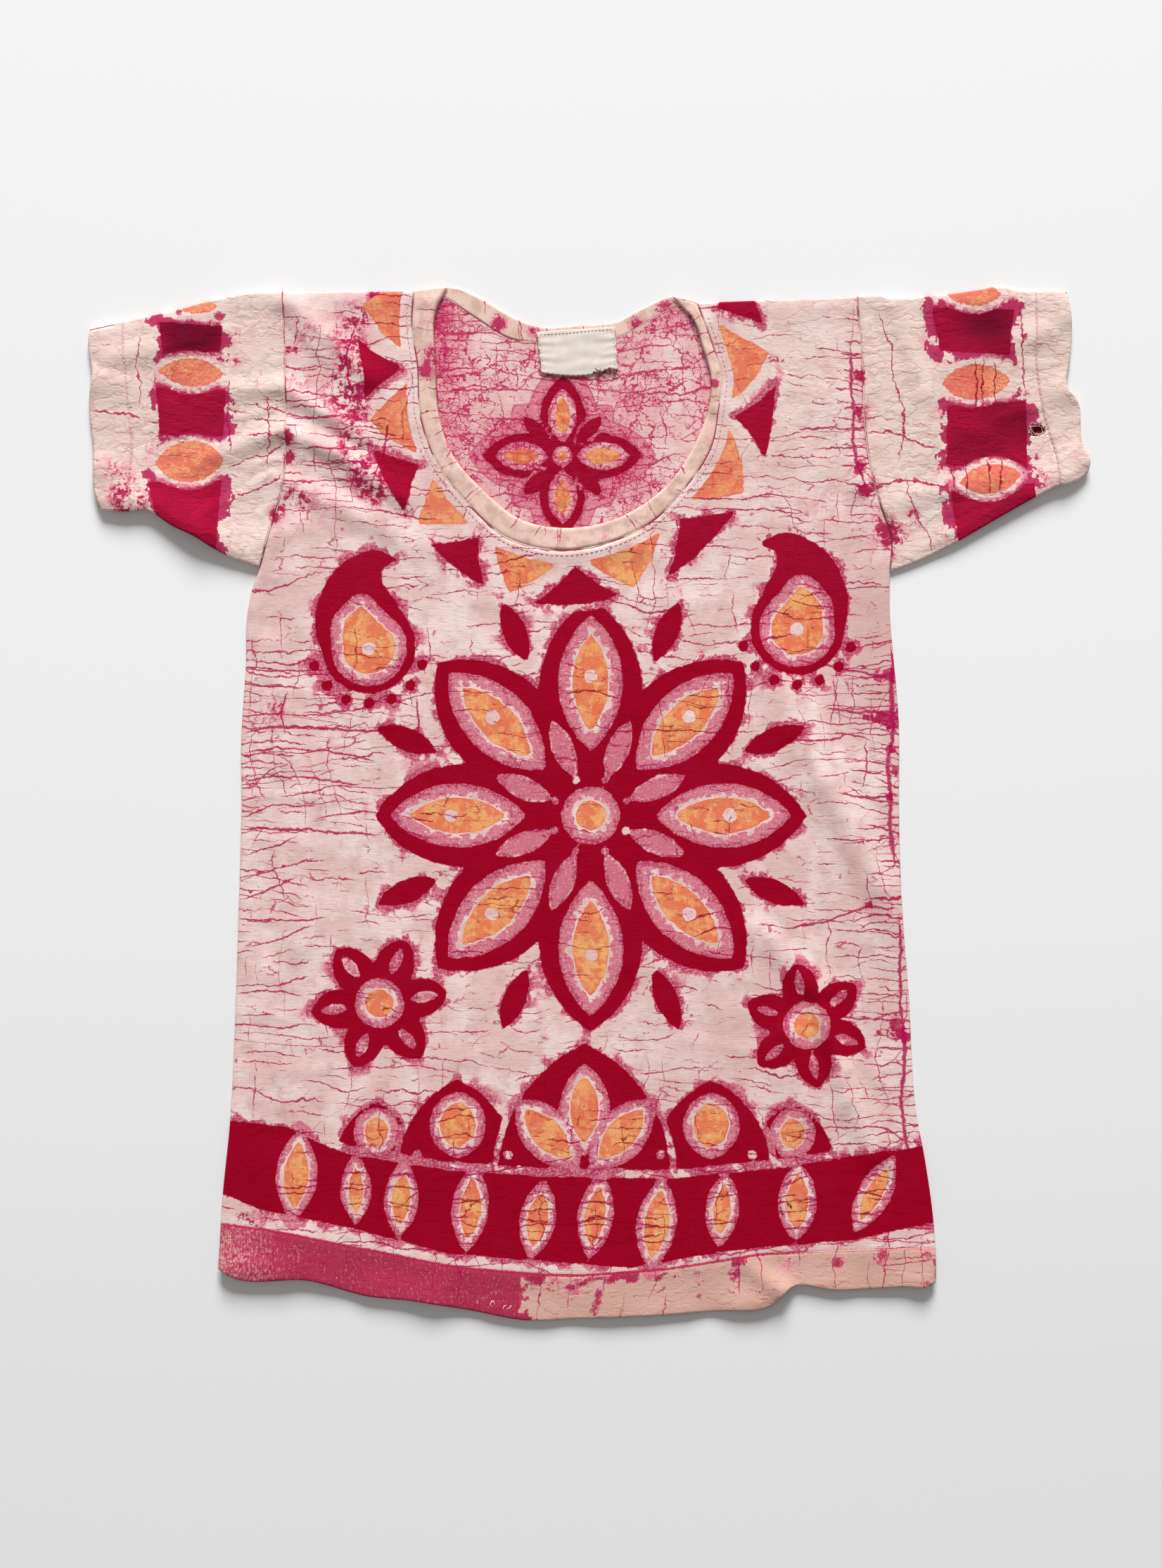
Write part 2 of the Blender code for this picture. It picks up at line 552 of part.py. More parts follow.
def cut_rip(sleeve, cutters):
    """The rip in a sleeve: an oval opening right through its upper layer."""
    x, y = RIP_CENTRE
    bpy.ops.mesh.primitive_cylinder_add(
        vertices=RIP_SIDES, radius=0.5, depth=RIP_TOOL_DEPTH * MM, location=(x * MM, y * MM, 0),
    )
    cutter = bpy.context.object
    cutter.name = "rip_cutter"
    cutter.scale = (RIP_SIZE[0] * MM, RIP_SIZE[1] * MM, 1)
    bpy.ops.object.transform_apply(location=False, rotation=False, scale=True)
    cutter.hide_render = True
    cutter.display_type = "WIRE"
    for collection in cutter.users_collection:
        collection.objects.unlink(cutter)
    cutters.objects.link(cutter)
    cut = sleeve.modifiers.new("rip", "BOOLEAN")
    cut.object = cutter
    cut.operation = "DIFFERENCE"


def build():
    """Every piece of the shirt, each a solid of its own."""
    for old in list(bpy.data.objects):
        bpy.data.objects.remove(old, do_unlink=True)
    shirt = bpy.data.collections.new("batik_shirt")
    cutters = bpy.data.collections.new("cutters")
    bpy.context.scene.collection.children.link(shirt)
    bpy.context.scene.collection.children.link(cutters)

    cloth_piece("front", front_panel(), "batik_cotton", shirt)
    cloth_piece("back", back_panel(), "batik_cotton_inside", shirt)
    cloth_piece("sleeve_left", sleeve_tube(), "batik_cotton", shirt)
    right = sleeve_grid(-1, SLEEVE_TOP_RIGHT, SLEEVE_UNDER_RIGHT, CUFF_RIGHT, ARMHOLE_RIGHT)
    upper_sleeve = cloth_piece("sleeve_right_front", upper_points(*right), "batik_cotton", shirt)
    cut_rip(upper_sleeve, cutters)
    cloth_piece("sleeve_right_back", lower_points(*right), "batik_cotton", shirt)

    cloth_piece("neck_binding_front", front_binding(), "neck_binding", shirt)
    cloth_piece("neck_binding_back", back_binding(), "neck_binding", shirt)
    cloth_piece("label", label_points(), "plain_label", shirt)


build()
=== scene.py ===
import bpy
import numpy as np
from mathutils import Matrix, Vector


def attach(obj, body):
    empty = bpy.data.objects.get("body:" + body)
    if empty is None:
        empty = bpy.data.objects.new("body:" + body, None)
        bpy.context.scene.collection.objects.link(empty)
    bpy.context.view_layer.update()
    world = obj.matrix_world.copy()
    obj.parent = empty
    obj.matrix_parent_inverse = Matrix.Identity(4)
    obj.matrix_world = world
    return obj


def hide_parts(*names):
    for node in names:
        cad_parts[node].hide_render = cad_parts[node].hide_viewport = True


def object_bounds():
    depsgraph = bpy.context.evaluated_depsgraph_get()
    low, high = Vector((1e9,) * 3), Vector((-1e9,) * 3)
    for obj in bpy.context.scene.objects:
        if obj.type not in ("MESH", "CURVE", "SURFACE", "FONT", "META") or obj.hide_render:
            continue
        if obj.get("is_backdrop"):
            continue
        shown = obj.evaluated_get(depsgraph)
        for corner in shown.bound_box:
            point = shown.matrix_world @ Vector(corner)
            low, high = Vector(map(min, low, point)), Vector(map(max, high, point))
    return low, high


# Batik shirt laid flat. Every size below is in millimetres until a mesh is made.
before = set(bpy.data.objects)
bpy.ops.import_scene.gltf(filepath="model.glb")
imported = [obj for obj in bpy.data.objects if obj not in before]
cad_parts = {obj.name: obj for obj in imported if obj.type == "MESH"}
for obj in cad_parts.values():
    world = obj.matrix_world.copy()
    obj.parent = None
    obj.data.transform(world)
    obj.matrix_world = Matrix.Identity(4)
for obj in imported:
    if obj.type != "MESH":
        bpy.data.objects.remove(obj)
cadLow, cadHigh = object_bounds()
mm = 0.001

# The cloth and its two layers, as the frame has them
cloth = {
    "wall": 1.0, "plainShare": 0.72, "layerGap": 0.35, "seamGap": 0.4, "roll": 1.1, "rollLines": 4,
    "seamRise": 0.42, "armpitDrop": 0.85, "edgeReach": 12.0, "smoothRim": 7.0,
    # how sharply ridges join, and where the sleeves' crumpled relief starts and is full
    "foldBlend": 4, "creaseBlend": 2, "liftBlend": 3, "crumpledFrom": (190.0, 230.0),
    "hemRise": 0.4, "hemStep": 0.8, "bandRise": 0.16, "grooveDepth": 0.34, "grooveReach": 0.9,
    "puckerHeight": 0.2, "puckerReach": 6.0, "puckerLength": 11.0,
}
cloth["lower"] = cloth["wall"] / 2
cloth["seamLevel"] = cloth["lower"] + cloth["roll"]
cloth["upper"] = cloth["lower"] + cloth["wall"] + cloth["layerGap"]
cloth["upperEdge"] = cloth["seamLevel"] + cloth["roll"]

# Outlines of the shirt as x, y rows
outline = {
    "sideLeft": (
        (-236.5, -297), (-234.7, -255.6), (-229.5, -202), (-225.7, -120.6), (-224, -66.6),
        (-222.3, 0), (-222.5, 41.4), (-219.5, 90), (-218.5, 122.4), (-215.8, 136), (-210.4, 150.3),
    ),
    "sideRight": (
        (221.2, -305.8), (221.2, -282.6), (214.9, -228.6), (209.9, -201.6), (204.3, -120.6),
        (199.6, -55), (198.2, 0), (198, 54.9), (194.6, 95.4), (192.4, 122.4), (192.4, 147.8),
    ),
    "hem": (
        (-236.5, -297), (-231.1, -300.8), (-178.9, -304.7), (-142, -314.6), (-114.5, -317.3),
        (-74.5, -324), (-42.1, -329.9), (0, -328.8), (45.2, -327), (91.6, -324),
        (107, -323.6), (116, -321), (122, -315.5), (127, -310.3), (159, -311),
        (201.8, -308.7), (217, -308.3), (221.2, -305.8),
    ),
    "hemStitch": (
        (-235.4, -269), (-200, -274), (-160, -282), (-124, -289), (-87, -296),
        (-47, -300), (-13, -302), (21, -300), (48, -298), (76, -294),
        (107, -289), (137, -287), (168, -286), (199, -285), (221, -284.6),
    ),
    "armholeLeft": (
        (-210.4, 150.3), (-204.1, 174.2), (-199.3, 188.6), (-194.6, 212.9), (-193.8, 246.6), (-195.7, 326.7),
    ),
    "armholeRight": (
        (192.4, 147.8), (193.2, 170), (186.8, 188.6), (180.5, 210.2), (176.3, 240), (174.6, 282),
        (171, 323.8),
    ),
    "sleeveTopLeft": (
        (-195.7, 326.7), (-210.4, 326.7), (-237.4, 322.2), (-264.4, 315), (-291.4, 309.2), (-318.4, 303.3),
    ),
    "sleeveTopRight": (
        (171, 323.8), (181.1, 324.9), (194.6, 322.9), (221.6, 324.5), (248.6, 328.1), (262.1, 330.2),
        (275.6, 327.6), (304.6, 327.2),
    ),
    "sleeveUnderLeft": (
        (-210.4, 150.3), (-228.4, 156.6), (-240.1, 162.7), (-251.3, 169.7), (-265.3, 176.4),
        (-282.4, 186.6), (-295, 186), (-310.9, 186.6),
    ),
    "sleeveUnderRight": (
        (192.4, 147.8), (213.1, 155.7), (229.3, 163.8), (263.5, 183.3), (286.4, 196), (298.1, 201.6),
        (311.6, 205.6), (318.2, 210.8),
    ),
    "cuffLeft": (
        (-318.4, 303.3), (-319.5, 297), (-317.1, 271.5), (-318.6, 262), (-316.1, 223.7),
        (-315, 196.7), (-310.9, 186.6),
    ),
    "cuffRight": (
        (304.6, 327.2), (307.5, 311.4), (306.8, 284.4), (305.1, 265.5), (311.4, 257.4), (314.3, 230.4),
        (319.5, 217), (318.2, 210.8),
    ),
    "cuffStitchLeft": (
        (-297.8, 307.8), (-298, 289), (-297, 271), (-296, 249), (-295, 238),
        (-295, 222), (-297, 205), (-296.5, 186.1),
    ),
    "cuffStitchRight": (
        (285.5, 327.3), (286, 299), (286, 282), (288, 265), (291, 248),
        (295, 235), (299, 222), (301, 202.6),
    ),
}
# Neck bindings from the left shoulder round to the right: seam x, seam y, free edge x, y
neckFront = (
    (-112.3, 327.4, -90.7, 329.9), (-113.4, 306, -98.4, 313), (-109.8, 280.4, -98.4, 282.2),
    (-107, 243, -95.5, 244.5), (-97.5, 217.6, -87.5, 222.6), (-77.9, 191.7, -68.4, 200.2),
    (-51.5, 168.9, -44.3, 181.3), (-19.8, 161.3, -19.2, 175.7), (13.1, 166.5, 8.2, 178.5),
    (40.5, 180.3, 33.5, 189.8), (62.4, 202.6, 54, 207.6), (77, 225, 66, 226),
    (82.8, 252.5, 76.5, 252.5), (84.8, 270.5, 78.2, 270.5), (79, 292, 72.2, 293),
    (74, 306, 68, 307), (68.9, 320, 53.3, 324),
)
neckBack = (
    (-112.3, 327.4, -90.7, 329.9), (-94.3, 324.4, -82, 328.1), (-76.7, 313.2, -71.8, 323.6),
    (-46.1, 296.1, -43, 307.8), (-34.9, 294.8, -33.1, 304.4), (-7.9, 295.7, -7.9, 305.1),
    (18.9, 297.9, 17.5, 307.4), (39.4, 309.2, 32.4, 315), (55.4, 317.3, 45.7, 321.3),
    (68.9, 320, 53.3, 324),
)

# Soft folds: a ridge from x, y to x, y, its half width, and its height at each end
folds = (
    # across the left sleeve and shoulder, fanning out from the armhole
    (-246, 220, -196, 238, 7, 1.2, 3.6), (-196, 238, -160, 223, 7, 3.6, 4.4),
    (-160, 223, -120, 195, 7.5, 4.4, 2.4), (-236, 262, -196, 266, 6.5, 1, 2.8),
    (-196, 266, -146, 234, 6.5, 2.8, 2.8), (-193, 320, -141, 273, 8.5, 2.8, 2.8),
    (-194, 206, -148, 184, 8, 1.6, 2), (-148, 184, -96, 158, 9, 2, 0.8),
    (-304, 284, -246, 298, 9, 2, 0.8), (-206, 168, -186, 178, 8, 1.6, 0.8),
    # the neck edge stands clear of the back
    (-99, 318, -98, 246, 9, 2.2, 1), (71, 304, 82, 252, 8, 1.9, 1.2),
    (-30, 158, 34, 164, 8, 0.8, 1),
    # over the right sleeve and shoulder
    (154, 262, 172, 204, 9, 1, 1.8), (196, 318, 214, 262, 8, 2, 1.6),
    (214, 262, 216, 222, 8, 1.6, 0.8), (198, 192, 262, 208, 9, 1.6, 2),
    (292, 302, 246, 288, 9, 2, 0.8),
    # down the right of the body
    (112, 96, 150, 14, 12, 1.2, 4), (150, 14, 186, -56, 11, 4, 3),
    (186, -56, 200, -96, 10, 3, 1), (108, -82, 150, -120, 10, 1.8, 2.6),
    (150, -134, 166, -190, 8, 3.2, 3.4), (166, -190, 182, -224, 9, 3.4, 1.6),
    (128, -148, 138, -200, 8, 2, 1.2),
    # down the left of the body
    (-203, 100, -198, 22, 9, 2, 1.2), (-178, 46, -186, -90, 13, 0.8, 1.6),
    (-204, -110, -196, -190, 12, 1.2, 0.8),
    # waves along the hem and its pleat
    (-176, -306, -184, -262, 22, 2.6, 0.4), (-96, -320, -92, -280, 20, 2, 0.3),
    (14, -330, 10, -284, 24, 2.4, 0.3), (100, -296, 124, -311, 6, 1.6, 3.8),
    (190, -309, 180, -262, 18, 2, 0.6),
    # waves along the cuffs
    (-319, 270, -292, 268, 10, 2.6, 0.6), (-316, 214, -288, 212, 11, 2, 0.4),
    (306, 310, 286, 306, 9, 2, 0.4), (307, 264, 288, 260, 10, 2.6, 0.6),
    (318, 222, 292, 218, 10, 1.8, 0.4),
)
# Smaller creases between them, in the same columns
creases = (
    (-189, 305, -152, 266, 3.2, 0.7, 0.9), (-176, 252, -150, 243, 2.8, 0.5, 0.8),
    (-186, 222, -158, 208, 3, 0.9, 0.7), (-158, 208, -128, 186, 3, 0.7, 0.3),
    (-182, 214, -140, 203, 2.6, 0.6, 0.4), (-214, 216, -198, 220, 2.8, 0.6, 0.9),
    (-226, 246, -202, 252, 3, 0.4, 0.8), (-222, 196, -204, 210, 3.2, 0.4, 0.9),
    (-246, 186, -222, 198, 3.6, 0.5, 0.6), (-276, 208, -250, 214, 4, 0.4, 0.5),
    (-210, 184, -198, 196, 2.6, 0.7, 0.5), (-240, 312, -222, 286, 4, 0.5, 0.4),
    (-170, 190, -150, 150, 4, 0.4, 0.2), (-128, 172, -96, 140, 4, 0.3, 0.4),
    (126, 238, 148, 214, 4, 0.3, 0.5), (150, 296, 166, 250, 3.6, 0.5, 0.6),
    (178, 306, 184, 262, 3.4, 0.7, 0.4), (206, 200, 236, 196, 3.4, 0.6, 0.5),
    (214, 182, 246, 190, 3.4, 0.4, 0.6), (188, 190, 202, 176, 3, 0.8, 0.5),
    (262, 246, 286, 252, 4, 0.4, 0.5), (238, 238, 262, 232, 4, 0.3, 0.4),
    (134, 78, 158, 26, 4.2, 0.5, 0.8), (160, 48, 182, 4, 4, 0.4, 0.6),
    (126, 30, 146, -12, 4.4, 0.3, 0.5), (168, -70, 188, -104, 4, 0.6, 0.4),
    (120, -66, 148, -96, 4.2, 0.6, 0.5), (134, -112, 150, -128, 3.6, 0.5, 0.7),
    (172, -136, 182, -178, 3.8, 0.5, 0.6), (144, -168, 152, -204, 3.2, 0.8, 0.5),
    (184, -196, 196, -236, 3.8, 0.4, 0.5), (112, -150, 124, -186, 4.4, 0.3, 0.5),
    (-196, 74, -160, 66, 3.8, 0.4, 0.2), (-206, 6, -158, 2, 3.6, 0.5, 0.2),
    (-212, -22, -176, -28, 3.2, 0.4, 0.3), (-210, -72, -160, -82, 4.2, 0.4, 0.2),
    (-216, -132, -182, -140, 3.8, 0.4, 0.3), (-200, -174, -150, -168, 4.6, 0.3, 0.3),
    (-150, 134, -118, 96, 5, 0.4, 0.3), (-68, 128, -20, 118, 5, 0.3, 0.3),
    (34, 132, 92, 128, 5, 0.3, 0.4), (60, -150, 104, -160, 4.6, 0.3, 0.4),
    (-60, -158, -104, -172, 5, 0.3, 0.3), (20, 60, 70, 52, 5.4, 0.3, 0.2),
    (-90, 40, -40, 28, 5.4, 0.2, 0.3), (20, -104, 74, -112, 5.2, 0.3, 0.2),
)
# Where the whole edge stands off the floor, in the same columns
lifts = (
    (-296, 192, -252, 172, 19, 3.5, 5.5), (-252, 172, -222, 158, 17, 5.5, 2),
    (236, 168, 300, 204, 15, 1.5, 3), (-234, -298, -200, -302, 14, 3.5, 3),
    (-138, -316, -104, -320, 13, 2.6, 2.6), (-60, -327, -30, -331, 11, 1.4, 1.4),
    (40, -328, 60, -327, 11, 1.4, 1.4), (96, -322, 120, -316, 12, 3, 3.4),
    (140, -310, 160, -311, 11, 1.6, 1.6), (214, -308, 220, -296, 13, 3, 2),
)
relief = ((44.0, 1.0, 0.5), (19.0, 1.6, 0.26), (8.5, 2.6, 0.13))  # size, stretch along x, height


def curveAt(table, shares):
    # places on a smooth curve through the rows, at shares of its length: a cubic on each
    # stretch, whose end slopes are the weighted means of its neighbours' slopes
    knots = np.asarray(table, float)
    gaps = np.linalg.norm(np.diff(knots, axis=0), axis=1)
    stations = np.concatenate([[0.0], np.cumsum(gaps)])
    rates = np.diff(knots, axis=0) / gaps[:, None]
    before, after = gaps[:-1, None], gaps[1:, None]
    turns = (rates[1:] * before + rates[:-1] * after) / (before + after)
    slopes = np.vstack([rates[:1], turns, rates[-1:]])
    along = np.asarray(shares) * stations[-1]
    span = np.clip(np.searchsorted(stations, along, side="right") - 1, 0, len(gaps) - 1)
    gap = gaps[span][:, None]
    t = (along - stations[span])[:, None] / gap
    fromStart = (2 * t**3 - 3 * t**2 + 1) * knots[span] + (t**3 - 2 * t**2 + t) * gap * slopes[span]
    fromEnd = (3 * t**2 - 2 * t**3) * knots[span + 1] + (t**3 - t**2) * gap * slopes[span + 1]
    return fromStart + fromEnd


def fitted(path, start, end):
    # the path sheared so that its ends meet two corners
    share = np.linspace(0, 1, len(path))[:, None]
    return path + (1 - share) * (np.asarray(start) - path[0]) + share * (np.asarray(end) - path[-1])


def setOff(path, distance):
    # the path moved along its right-hand normal
    along = np.gradient(path, axis=0)
    along /= np.linalg.norm(along, axis=1)[:, None]
    return path + distance * np.stack([along[:, 1], -along[:, 0]], axis=1)


def lengthShares(path):
    # how far along its length each point of a path is, from 0 to 1
    steps = np.linalg.norm(np.diff(path, axis=0), axis=1)
    return np.concatenate([[0.0], np.cumsum(steps)]) / steps.sum()


def patch(bottom, top, left, right):
    # Coons patch: the edges blended across and up, less the blend of the four corners
    across = ((lengthShares(bottom) + lengthShares(top)) / 2)[None, :, None]
    up = ((lengthShares(left) + lengthShares(right)) / 2)[:, None, None]
    rowsBlend = (1 - up) * bottom[None] + up * top[None]
    sidesBlend = (1 - across) * left[:, None] + across * right[:, None]
    low = (1 - across) * bottom[0] + across * bottom[-1]
    high = (1 - across) * top[0] + across * top[-1]
    return rowsBlend + sidesBlend - ((1 - up) * low + up * high)


def evenly(start, end, cells):
    # the ends of so many equal cells
    return np.linspace(start, end, cells + 1)


def onward(start, end, cells):
    # the same without the first, to carry a row on
    return evenly(start, end, cells)[1:]


def withRoll(grid, drop, axis, atEnd):
    # lines added beside an edge as a quarter circle: in by 1 - cos, down by 1 - sin of the angle
    grid, drop = np.moveaxis(grid, axis, 0), np.moveaxis(drop, axis, 0)
    if atEnd:
        grid, drop = grid[::-1], drop[::-1]
    inward = grid[1] - grid[0]
    inward = inward / np.linalg.norm(inward, axis=-1, keepdims=True)
    angles = onward(0, np.pi / 2, cloth["rollLines"])
    shape = (-1,) + (1,) * (grid.ndim - 1)
    lines = grid[0] + ((1 - np.cos(angles)) * cloth["roll"]).reshape(shape) * inward[None]
    falls = (1 - np.sin(angles)).reshape(shape) * drop[:1]
    grid = np.concatenate([grid[:1], lines, grid[1:]])
    drop = np.concatenate([drop[:1], falls, drop[1:]])
    if atEnd:
        grid, drop = grid[::-1], drop[::-1]
    return np.moveaxis(grid, 0, axis), np.moveaxis(drop, 0, axis)


def besideStretch(x, y, x0, y0, x1, y1):
    # the nearest place on a straight stretch, as a share of it, the distance to it, and its length
    acrossX, acrossY = x1 - x0, y1 - y0
    length = np.hypot(acrossX, acrossY)
    share = np.clip(((x - x0) * acrossX + (y - y0) * acrossY) / length**2, 0, 1)
    return share, np.hypot(x - x0 - share * acrossX, y - y0 - share * acrossY), length


def nearestOn(path, x, y):
    # distance to a path of straight pieces, the length along it there, and the side: right is +
    best = np.full(np.shape(x), np.inf)
    along, side = np.zeros(np.shape(x)), np.ones(np.shape(x))
    start = 0.0
    for (x0, y0), (x1, y1) in zip(path[:-1], path[1:]):
        share, away, length = besideStretch(x, y, x0, y0, x1, y1)
        closer = away < best
        best = np.where(closer, away, best)
        along = np.where(closer, start + share * length, along)
        turn = (x1 - x0) * (y - y0) - (y1 - y0) * (x - x0)
        side = np.where(closer, np.where(turn < 0, 1.0, -1.0), side)
        start += length
    return best, along, side


def smooth(value, low, high):
    # 0 below low, 1 above high, and a soft S between
    t = np.clip((value - low) / (high - low), 0, 1)
    return t * t * (3 - 2 * t)


lattice = {"cells": 210, "middle": 97}


def softNoise(x, y, size, seed):
    # random heights from 0 to 1 on a lattice that repeats, blended smoothly between its points
    heights = np.random.default_rng(seed).random((lattice["cells"] + 1, lattice["cells"] + 1))
    u, v = np.nan_to_num(x) / size + lattice["middle"], np.nan_to_num(y) / size + lattice["middle"]
    column, row = np.floor(u).astype(int), np.floor(v).astype(int)
    s, t = smooth(u - column, 0, 1), smooth(v - row, 0, 1)
    column, row = column % lattice["cells"], row % lattice["cells"]
    low = heights[row, column] * (1 - s) + heights[row, column + 1] * s
    high = heights[row + 1, column] * (1 - s) + heights[row + 1, column + 1] * s
    return low * (1 - t) + high * t


def ridges(table, x, y, power):
    # the crests' bell curves across and their heights along, joined by a power mean
    total = np.zeros(np.shape(x))
    for x0, y0, x1, y1, halfWidth, startHeight, endHeight in table:
        share, away, _ = besideStretch(x, y, x0, y0, x1, y1)
        crest = startHeight + (endHeight - startHeight) * share
        total = total + (crest * np.exp(-((away / halfWidth) ** 2))) ** power
    return total ** (1 / power)


# The edges that are folds of both layers, where the cloth rises before it turns down
foldedEdges = (
    outline["sleeveTopLeft"][::-1] + (neckFront[0][:2],),
    outline["sleeveTopRight"][::-1] + (neckFront[-1][:2],),
    outline["sideLeft"] + outline["sleeveUnderLeft"][1:],
    outline["sideRight"] + outline["sleeveUnderRight"][1:],
)


def upperHeight(x, y):
    # rest height, a rise to the folded edges, the folds, the creases and the cloth's own relief
    inside = np.full(np.shape(x), np.inf)
    for edge in foldedEdges:
        inside = np.fmin(inside, nearestOn(edge, x, y)[0])
    atEdge = np.exp(-((inside / cloth["edgeReach"]) ** 2))
    height = cloth["upper"] + (cloth["upperEdge"] - cloth["upper"]) * atEdge
    height = height + ridges(folds, x, y, cloth["foldBlend"])
    fine = ridges(creases, x, y, cloth["creaseBlend"])
    crumpled = 1 + smooth(np.abs(x), *cloth["crumpledFrom"])
    for seed, (size, stretch, amount) in enumerate(relief):
        fine = fine + crumpled * amount * softNoise(x / stretch, y, size, seed)
    return height + fine * smooth(inside, 0, cloth["smoothRim"])


def lifted(x, y):
    # how far both layers stand off the floor at the lifted edges
    return ridges(lifts, x, y, cloth["liftBlend"])


def upperPoints(grid, drop, rise=0.0):
    # a grid at the upper layer's height, let down to the seam's level by the drop
    height = upperHeight(grid[..., 0], grid[..., 1]) + rise
    height = height - drop * (height - cloth["seamLevel"] - cloth["seamRise"])
    height = height + lifted(grid[..., 0], grid[..., 1])
    return np.concatenate([grid, height[..., None]], axis=-1)


def lowerPoints(grid, drop):
    # a grid at the lower layer's height, raised to the seam's level by the drop
    height = cloth["lower"] + drop * (cloth["seamLevel"] - cloth["seamRise"] - cloth["lower"])
    height = height + lifted(grid[..., 0], grid[..., 1])
    return np.concatenate([grid, height[..., None]], axis=-1)


def doubled(signed):
    # 0 on the single cloth and 1 past the stitch line, where it is double
    return smooth(signed, -cloth["hemStep"], cloth["hemStep"])


def stitchedEdge(path, x, y, seed):
    # what a stitched turn-up adds: a step past the line, a groove on it, and puckers along it
    away, along, side = nearestOn(path, x, y)
    signed = away * side
    step = cloth["hemRise"] * doubled(signed)
    groove = -cloth["grooveDepth"] * np.exp(-((signed / cloth["grooveReach"]) ** 2))
    swell = softNoise(along, signed * 0.2, cloth["puckerLength"] / 2, seed) - 0.4
    puckers = cloth["puckerHeight"] * 2 * swell * np.exp(-((signed / cloth["puckerReach"]) ** 2))
    return step + groove + puckers, signed


# Each shape is a field of distances to its outline, positive inside it. Crimson and orange are
# two such fields, and the wax between them is what neither covers.

def polygonField(x, y, corners):
    # distance to the nearest side, with its sign from how often a level ray crosses the outline
    nearest = np.full(np.shape(x), np.inf)
    inside = np.zeros(np.shape(x), bool)
    for (x0, y0), (x1, y1) in zip(corners, corners[1:] + corners[:1]):
        nearest = np.fmin(nearest, besideStretch(x, y, x0, y0, x1, y1)[1])
        if y0 != y1:
            inside ^= ((y0 > y) != (y1 > y)) & (x < x0 + (y - y0) * (x1 - x0) / (y1 - y0))
    return np.where(inside, nearest, -nearest)


def ovalField(x, y, centre, halfLength, halfWidth, turn):
    # pointed oval: where two equal circles overlap, its long side turned from +X in degrees
    angle = np.radians(turn)
    u = (x - centre[0]) * np.cos(angle) + (y - centre[1]) * np.sin(angle)
    v = (y - centre[1]) * np.cos(angle) - (x - centre[0]) * np.sin(angle)
    radius = (halfLength**2 + halfWidth**2) / (2 * halfWidth)
    return radius - np.hypot(u, np.abs(v) + radius - halfWidth)


def discField(x, y, centre, radius):
    return radius - np.hypot(x - centre[0], y - centre[1])


def hornField(x, y, spine, widths):
    # union of discs along a curved spine, each with its own radius
    field = np.full(np.shape(x), -np.inf)
    shares = np.linspace(0, 1, 25)
    middles = curveAt(spine, shares)
    radii = np.interp(shares, np.linspace(0, 1, len(widths)), widths)
    for middle, radius in zip(middles, radii):
        field = np.fmax(field, discField(x, y, middle, radius))
    return field


def turned(length, degrees):
    # a step of this length, turned from +X
    return np.array([np.cos(np.radians(degrees)), np.sin(np.radians(degrees))]) * length


farOutside = -60.0  # the distance where no motif is


class Dye:
    # the two dyed fields of a piece of cloth, on which the motifs are laid one after another
    def __init__(self, x, y):
        self.x, self.y = x, y
        self.red = np.full(np.shape(x), farOutside)
        self.orange = np.full(np.shape(x), farOutside)
        self.stain = np.zeros(np.shape(x))

    def oval(self, centre, halfLength, halfWidth, turn):
        return ovalField(self.x, self.y, centre, halfLength, halfWidth, turn)

    def disc(self, centre, radius):
        return discField(self.x, self.y, centre, radius)

    def ground(self, field, border=0.0):
        # crimson on what is there, parted from it by a waxed border
        self.red = np.fmax(np.fmin(self.red, -field - border) if border else self.red, field)

    def core(self, field, ring):
        # orange inside the crimson, in a waxed ring
        self.orange = np.fmax(self.orange, field)
        self.red = np.fmin(self.red, -field - ring)

    def dot(self, field):
        # a plain waxed dot, with no pink in it
        self.red = np.fmin(self.red, -field)
        self.orange = np.fmin(self.orange, np.fmax(-field, -1.0))

    def vein(self, field, stain=0.0):
        # a waxed line through the crimson alone, more or less stained with pink
        self.red = np.fmin(self.red, -field)
        self.stain = np.fmax(self.stain, stain * smooth(field, -1, 1))


medallion = {
    "centre": (1.0, -8.0), "petals": 8, "reach": 80.0, "petalSize": (58.0, 33.0), "heart": 62.0,
    "coreReach": 85.0, "coreSize": (31.0, 11.5), "ring": 9.0, "dotReach": 89.0, "dot": 4.4,
    "budReach": 46.0, "budSize": (20.0, 7.2), "budStain": 0.9, "rayReach": 127.0, "raySize": (21.0, 7.4),
    "rayWax": 3.0, "eye": 9.5, "speckReach": 24.5, "speck": 2.6,
}


def layMedallion(dye):
    # eight pointed petals round a disc, each with an orange core, and small buds between them
    m = medallion
    centre = np.array(m["centre"])
    step = 360 / m["petals"]
    angles = [90 + petal * step for petal in range(m["petals"])]
    dye.ground(dye.disc(centre, m["heart"]))
    for angle in angles:
        dye.ground(dye.oval(centre + turned(m["reach"], angle), *m["petalSize"], angle))
    for angle in angles:
        dye.core(dye.oval(centre + turned(m["coreReach"], angle), *m["coreSize"], angle), m["ring"])
        dye.dot(dye.disc(centre + turned(m["dotReach"], angle), m["dot"]))
        between = angle + step / 2
        bud = dye.oval(centre + turned(m["budReach"], between), *m["budSize"], between)
        dye.vein(bud, m["budStain"])
        ray = dye.oval(centre + turned(m["rayReach"], between), *m["raySize"], between)
        dye.ground(ray, m["rayWax"])
    dye.core(dye.disc(centre, m["eye"]), m["ring"])
    for petal in range(m["petals"]):
        dye.vein(dye.disc(centre + turned(m["speckReach"], petal * step + step / 2), m["speck"]))


